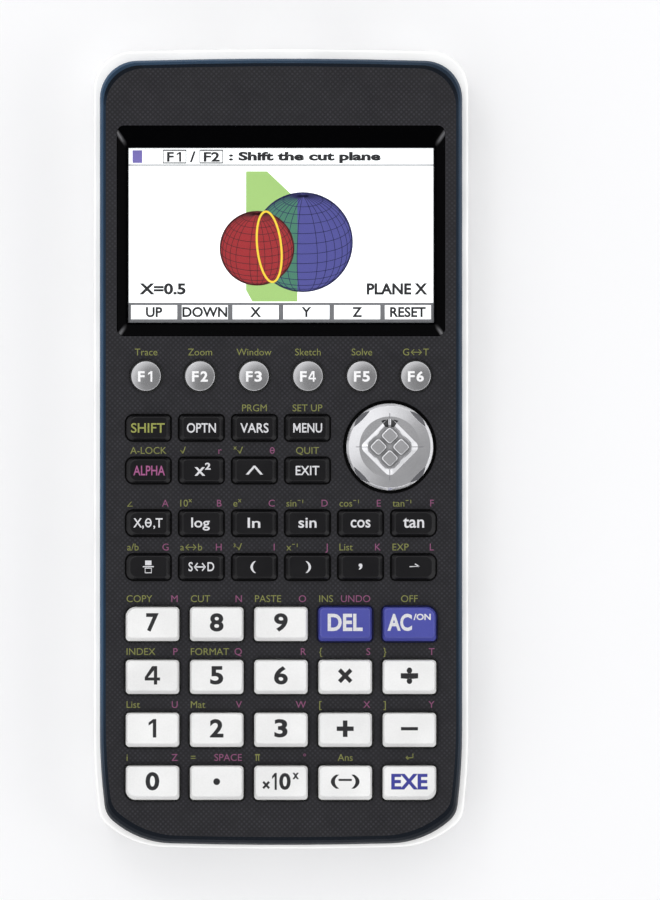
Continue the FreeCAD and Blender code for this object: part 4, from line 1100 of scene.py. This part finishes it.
def lathe(bm, x, y, profile, count=32):
    """A closed solid of revolution about (x, y); profile holds (radius, level) points. All in millimetres."""
    rings = []
    for radius, level in profile:
        rings.append(new_points(bm, ring_points(x, y, radius, radius, count=count), level * MM))
    for inner, outer in zip(rings, rings[1:]):
        for step in range(count):
            following = (step + 1) % count
            bm.faces.new((inner[step], inner[following], outer[following], outer[step]))
    bm.faces.new(rings[0])
    bm.faces.new(rings[-1])


def dome_web(material, low, high):
    """The flat sheet that joins the domes, in place of the CAD's sheet and its rigid domes."""
    bm = bmesh.new()
    outline = []
    for turn, (across, along) in enumerate(((1, 1), (-1, 1), (-1, -1), (1, -1))):
        x = (high.x if across > 0 else low.x) - across * WEB_CORNER
        y = (high.y if along > 0 else low.y) - along * WEB_CORNER
        for step in range(9):
            angle = math.pi / 2 * (turn + step / 8)
            outline.append((x + WEB_CORNER * math.cos(angle), y + WEB_CORNER * math.sin(angle)))
    add_polygon(bm, outline, low.z * MM)
    thicken(bm, 0.38 * MM)
    sharp = [edge for edge in bm.edges if edge.calc_face_angle(0) > 1]
    bmesh.ops.bevel(bm, geom=sharp, offset=0.1 * MM, segments=2, affect="EDGES")
    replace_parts(add_piece("dome_sheet_web", bm, material, ROOT), "key_dome_sheet")


def rubber_domes(material):
    """A dome under each key and four under the cursor disc."""
    low, high = box_mm("key_dome_sheet")
    dome_web(material, low, high)
    top_of_sheet = low.z + 0.4
    base, roof = DOME_RADII
    profile = [
        (base - 0.5, top_of_sheet + 0.02),
        (roof - 0.45, high.z - 0.5),
        (roof - 0.9, high.z - 0.45),
        (roof - 0.9, high.z - 0.06),
        (roof - 0.1, high.z),
        (roof, high.z - 0.08),
        (base - 0.1, top_of_sheet + 0.12),
        (base, top_of_sheet + 0.02),
    ]
    places = [
        (f"dome_{key}", centre_mm(key), f"{key.removeprefix('key_')}_press", KEPT_BY_KEY) for key in KEY_NODES
    ]
    for name, x, y, joint in (
        ("right", DISC_REACH, 0, "cursor_tilt_y"),
        ("left", -DISC_REACH, 0, "cursor_tilt_y"),
        ("up", 0, DISC_REACH, "cursor_tilt_x"),
        ("down", 0, -DISC_REACH, "cursor_tilt_x"),
    ):
        places.append((f"dome_cursor_{name}", Vector((DISC.x + x, DISC.y + y, 0)), joint, KEPT_BY_DISC))
    for name, middle, joint, keep in places:
        bm = bmesh.new()
        lathe(bm, middle.x, middle.y, profile)
        dome = add_piece(name, bm, material, ROOT)
        for face in dome.data.polygons:
            face.use_smooth = True
        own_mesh(dome)


# Stage, light and camera

FLOOR_HALF = 2500.0  # in millimetres
# How bright the surroundings are, by how far a direction points along an axis that leans to the lower right
SKY_AXIS = (0.24, -0.20, 1.0)
SKY_STOPS = [(0.0, 0.66), (0.25, 0.88), (0.45, 1.0), (0.78, 1.0), (0.93, 0.28), (1.0, 0.18)]
SKY_STRENGTH = 1.31
VIEW_HEIGHT = 213.6 * MM  # what the picture shows from top to bottom, at the level that follows
VIEW_LEVEL = 15.5 * MM
VIEW_MIDDLE = (11.63 * MM, -0.24 * MM)
LENS, SENSOR = 400.0, 36.0  # in millimetres


def build_stage():
    bm = bmesh.new()
    add_polygon(bm, rectangle(-FLOOR_HALF, FLOOR_HALF, -FLOOR_HALF, FLOOR_HALF), 0.0)
    floor = add_mesh("stage_floor", bm, stage_material("mat_stage", (0.96, 0.96, 0.965)))
    floor.location.z = -0.02 * MM


def build_world():
    """A soft dome of light: brightest part way up, and dim about its axis, so that flat gloss stays dark."""
    sky = Shader("soft_world", "World")
    direction = sky.node("TexCoord").outputs["Generated"]
    ramp = sky.node("ValToRGB", {0: sky.dot(direction, SKY_AXIS)})
    stops = ramp.color_ramp.elements
    while len(stops) < len(SKY_STOPS):
        stops.new(0.5)
    for stop, (position, brightness) in zip(stops, SKY_STOPS):
        stop.position = position
        stop.color = (brightness, brightness, brightness * 1.01, 1)
    ground = sky.node("Background", {"Color": ramp.outputs[0], "Strength": SKY_STRENGTH})
    bpy.context.scene.world = sky.surface(ground.outputs[0])


def add_light(name, place, size, power):
    """A square softbox aimed at the object's middle."""
    lamp = bpy.data.lights.new(name, "AREA")
    lamp.shape = "SQUARE"
    lamp.size = size
    lamp.energy = power
    holder = add_object(name, lamp)
    holder.location = place
    holder.rotation_euler = (-Vector(place)).to_track_quat("-Z", "Y").to_euler()


def build_lights():
    add_light("key_light", (-0.45, 0.85, 0.95), 0.5, 1.3)
    add_light("right_light", (1.0, -0.2, 0.8), 0.4, 0.7)


def build_camera():
    """Looks straight down from far off; the object sits left of the middle and nearly fills the height."""
    data = bpy.data.cameras.new("camera")
    data.lens, data.sensor_width = LENS, SENSOR
    data.clip_start, data.clip_end = 0.01, 20.0
    camera = add_object("camera", data)
    camera.location = (*VIEW_MIDDLE, VIEW_LEVEL + VIEW_HEIGHT * LENS / SENSOR)
    bpy.context.scene.camera = camera


materials = paint_cad()
key_legends()
cursor_marks()
screen_picture()
rubber_domes(materials["dome_rubber"])
build_stage()
build_world()
build_lights()
build_camera()
bpy.context.scene.view_settings.view_transform = "Standard"
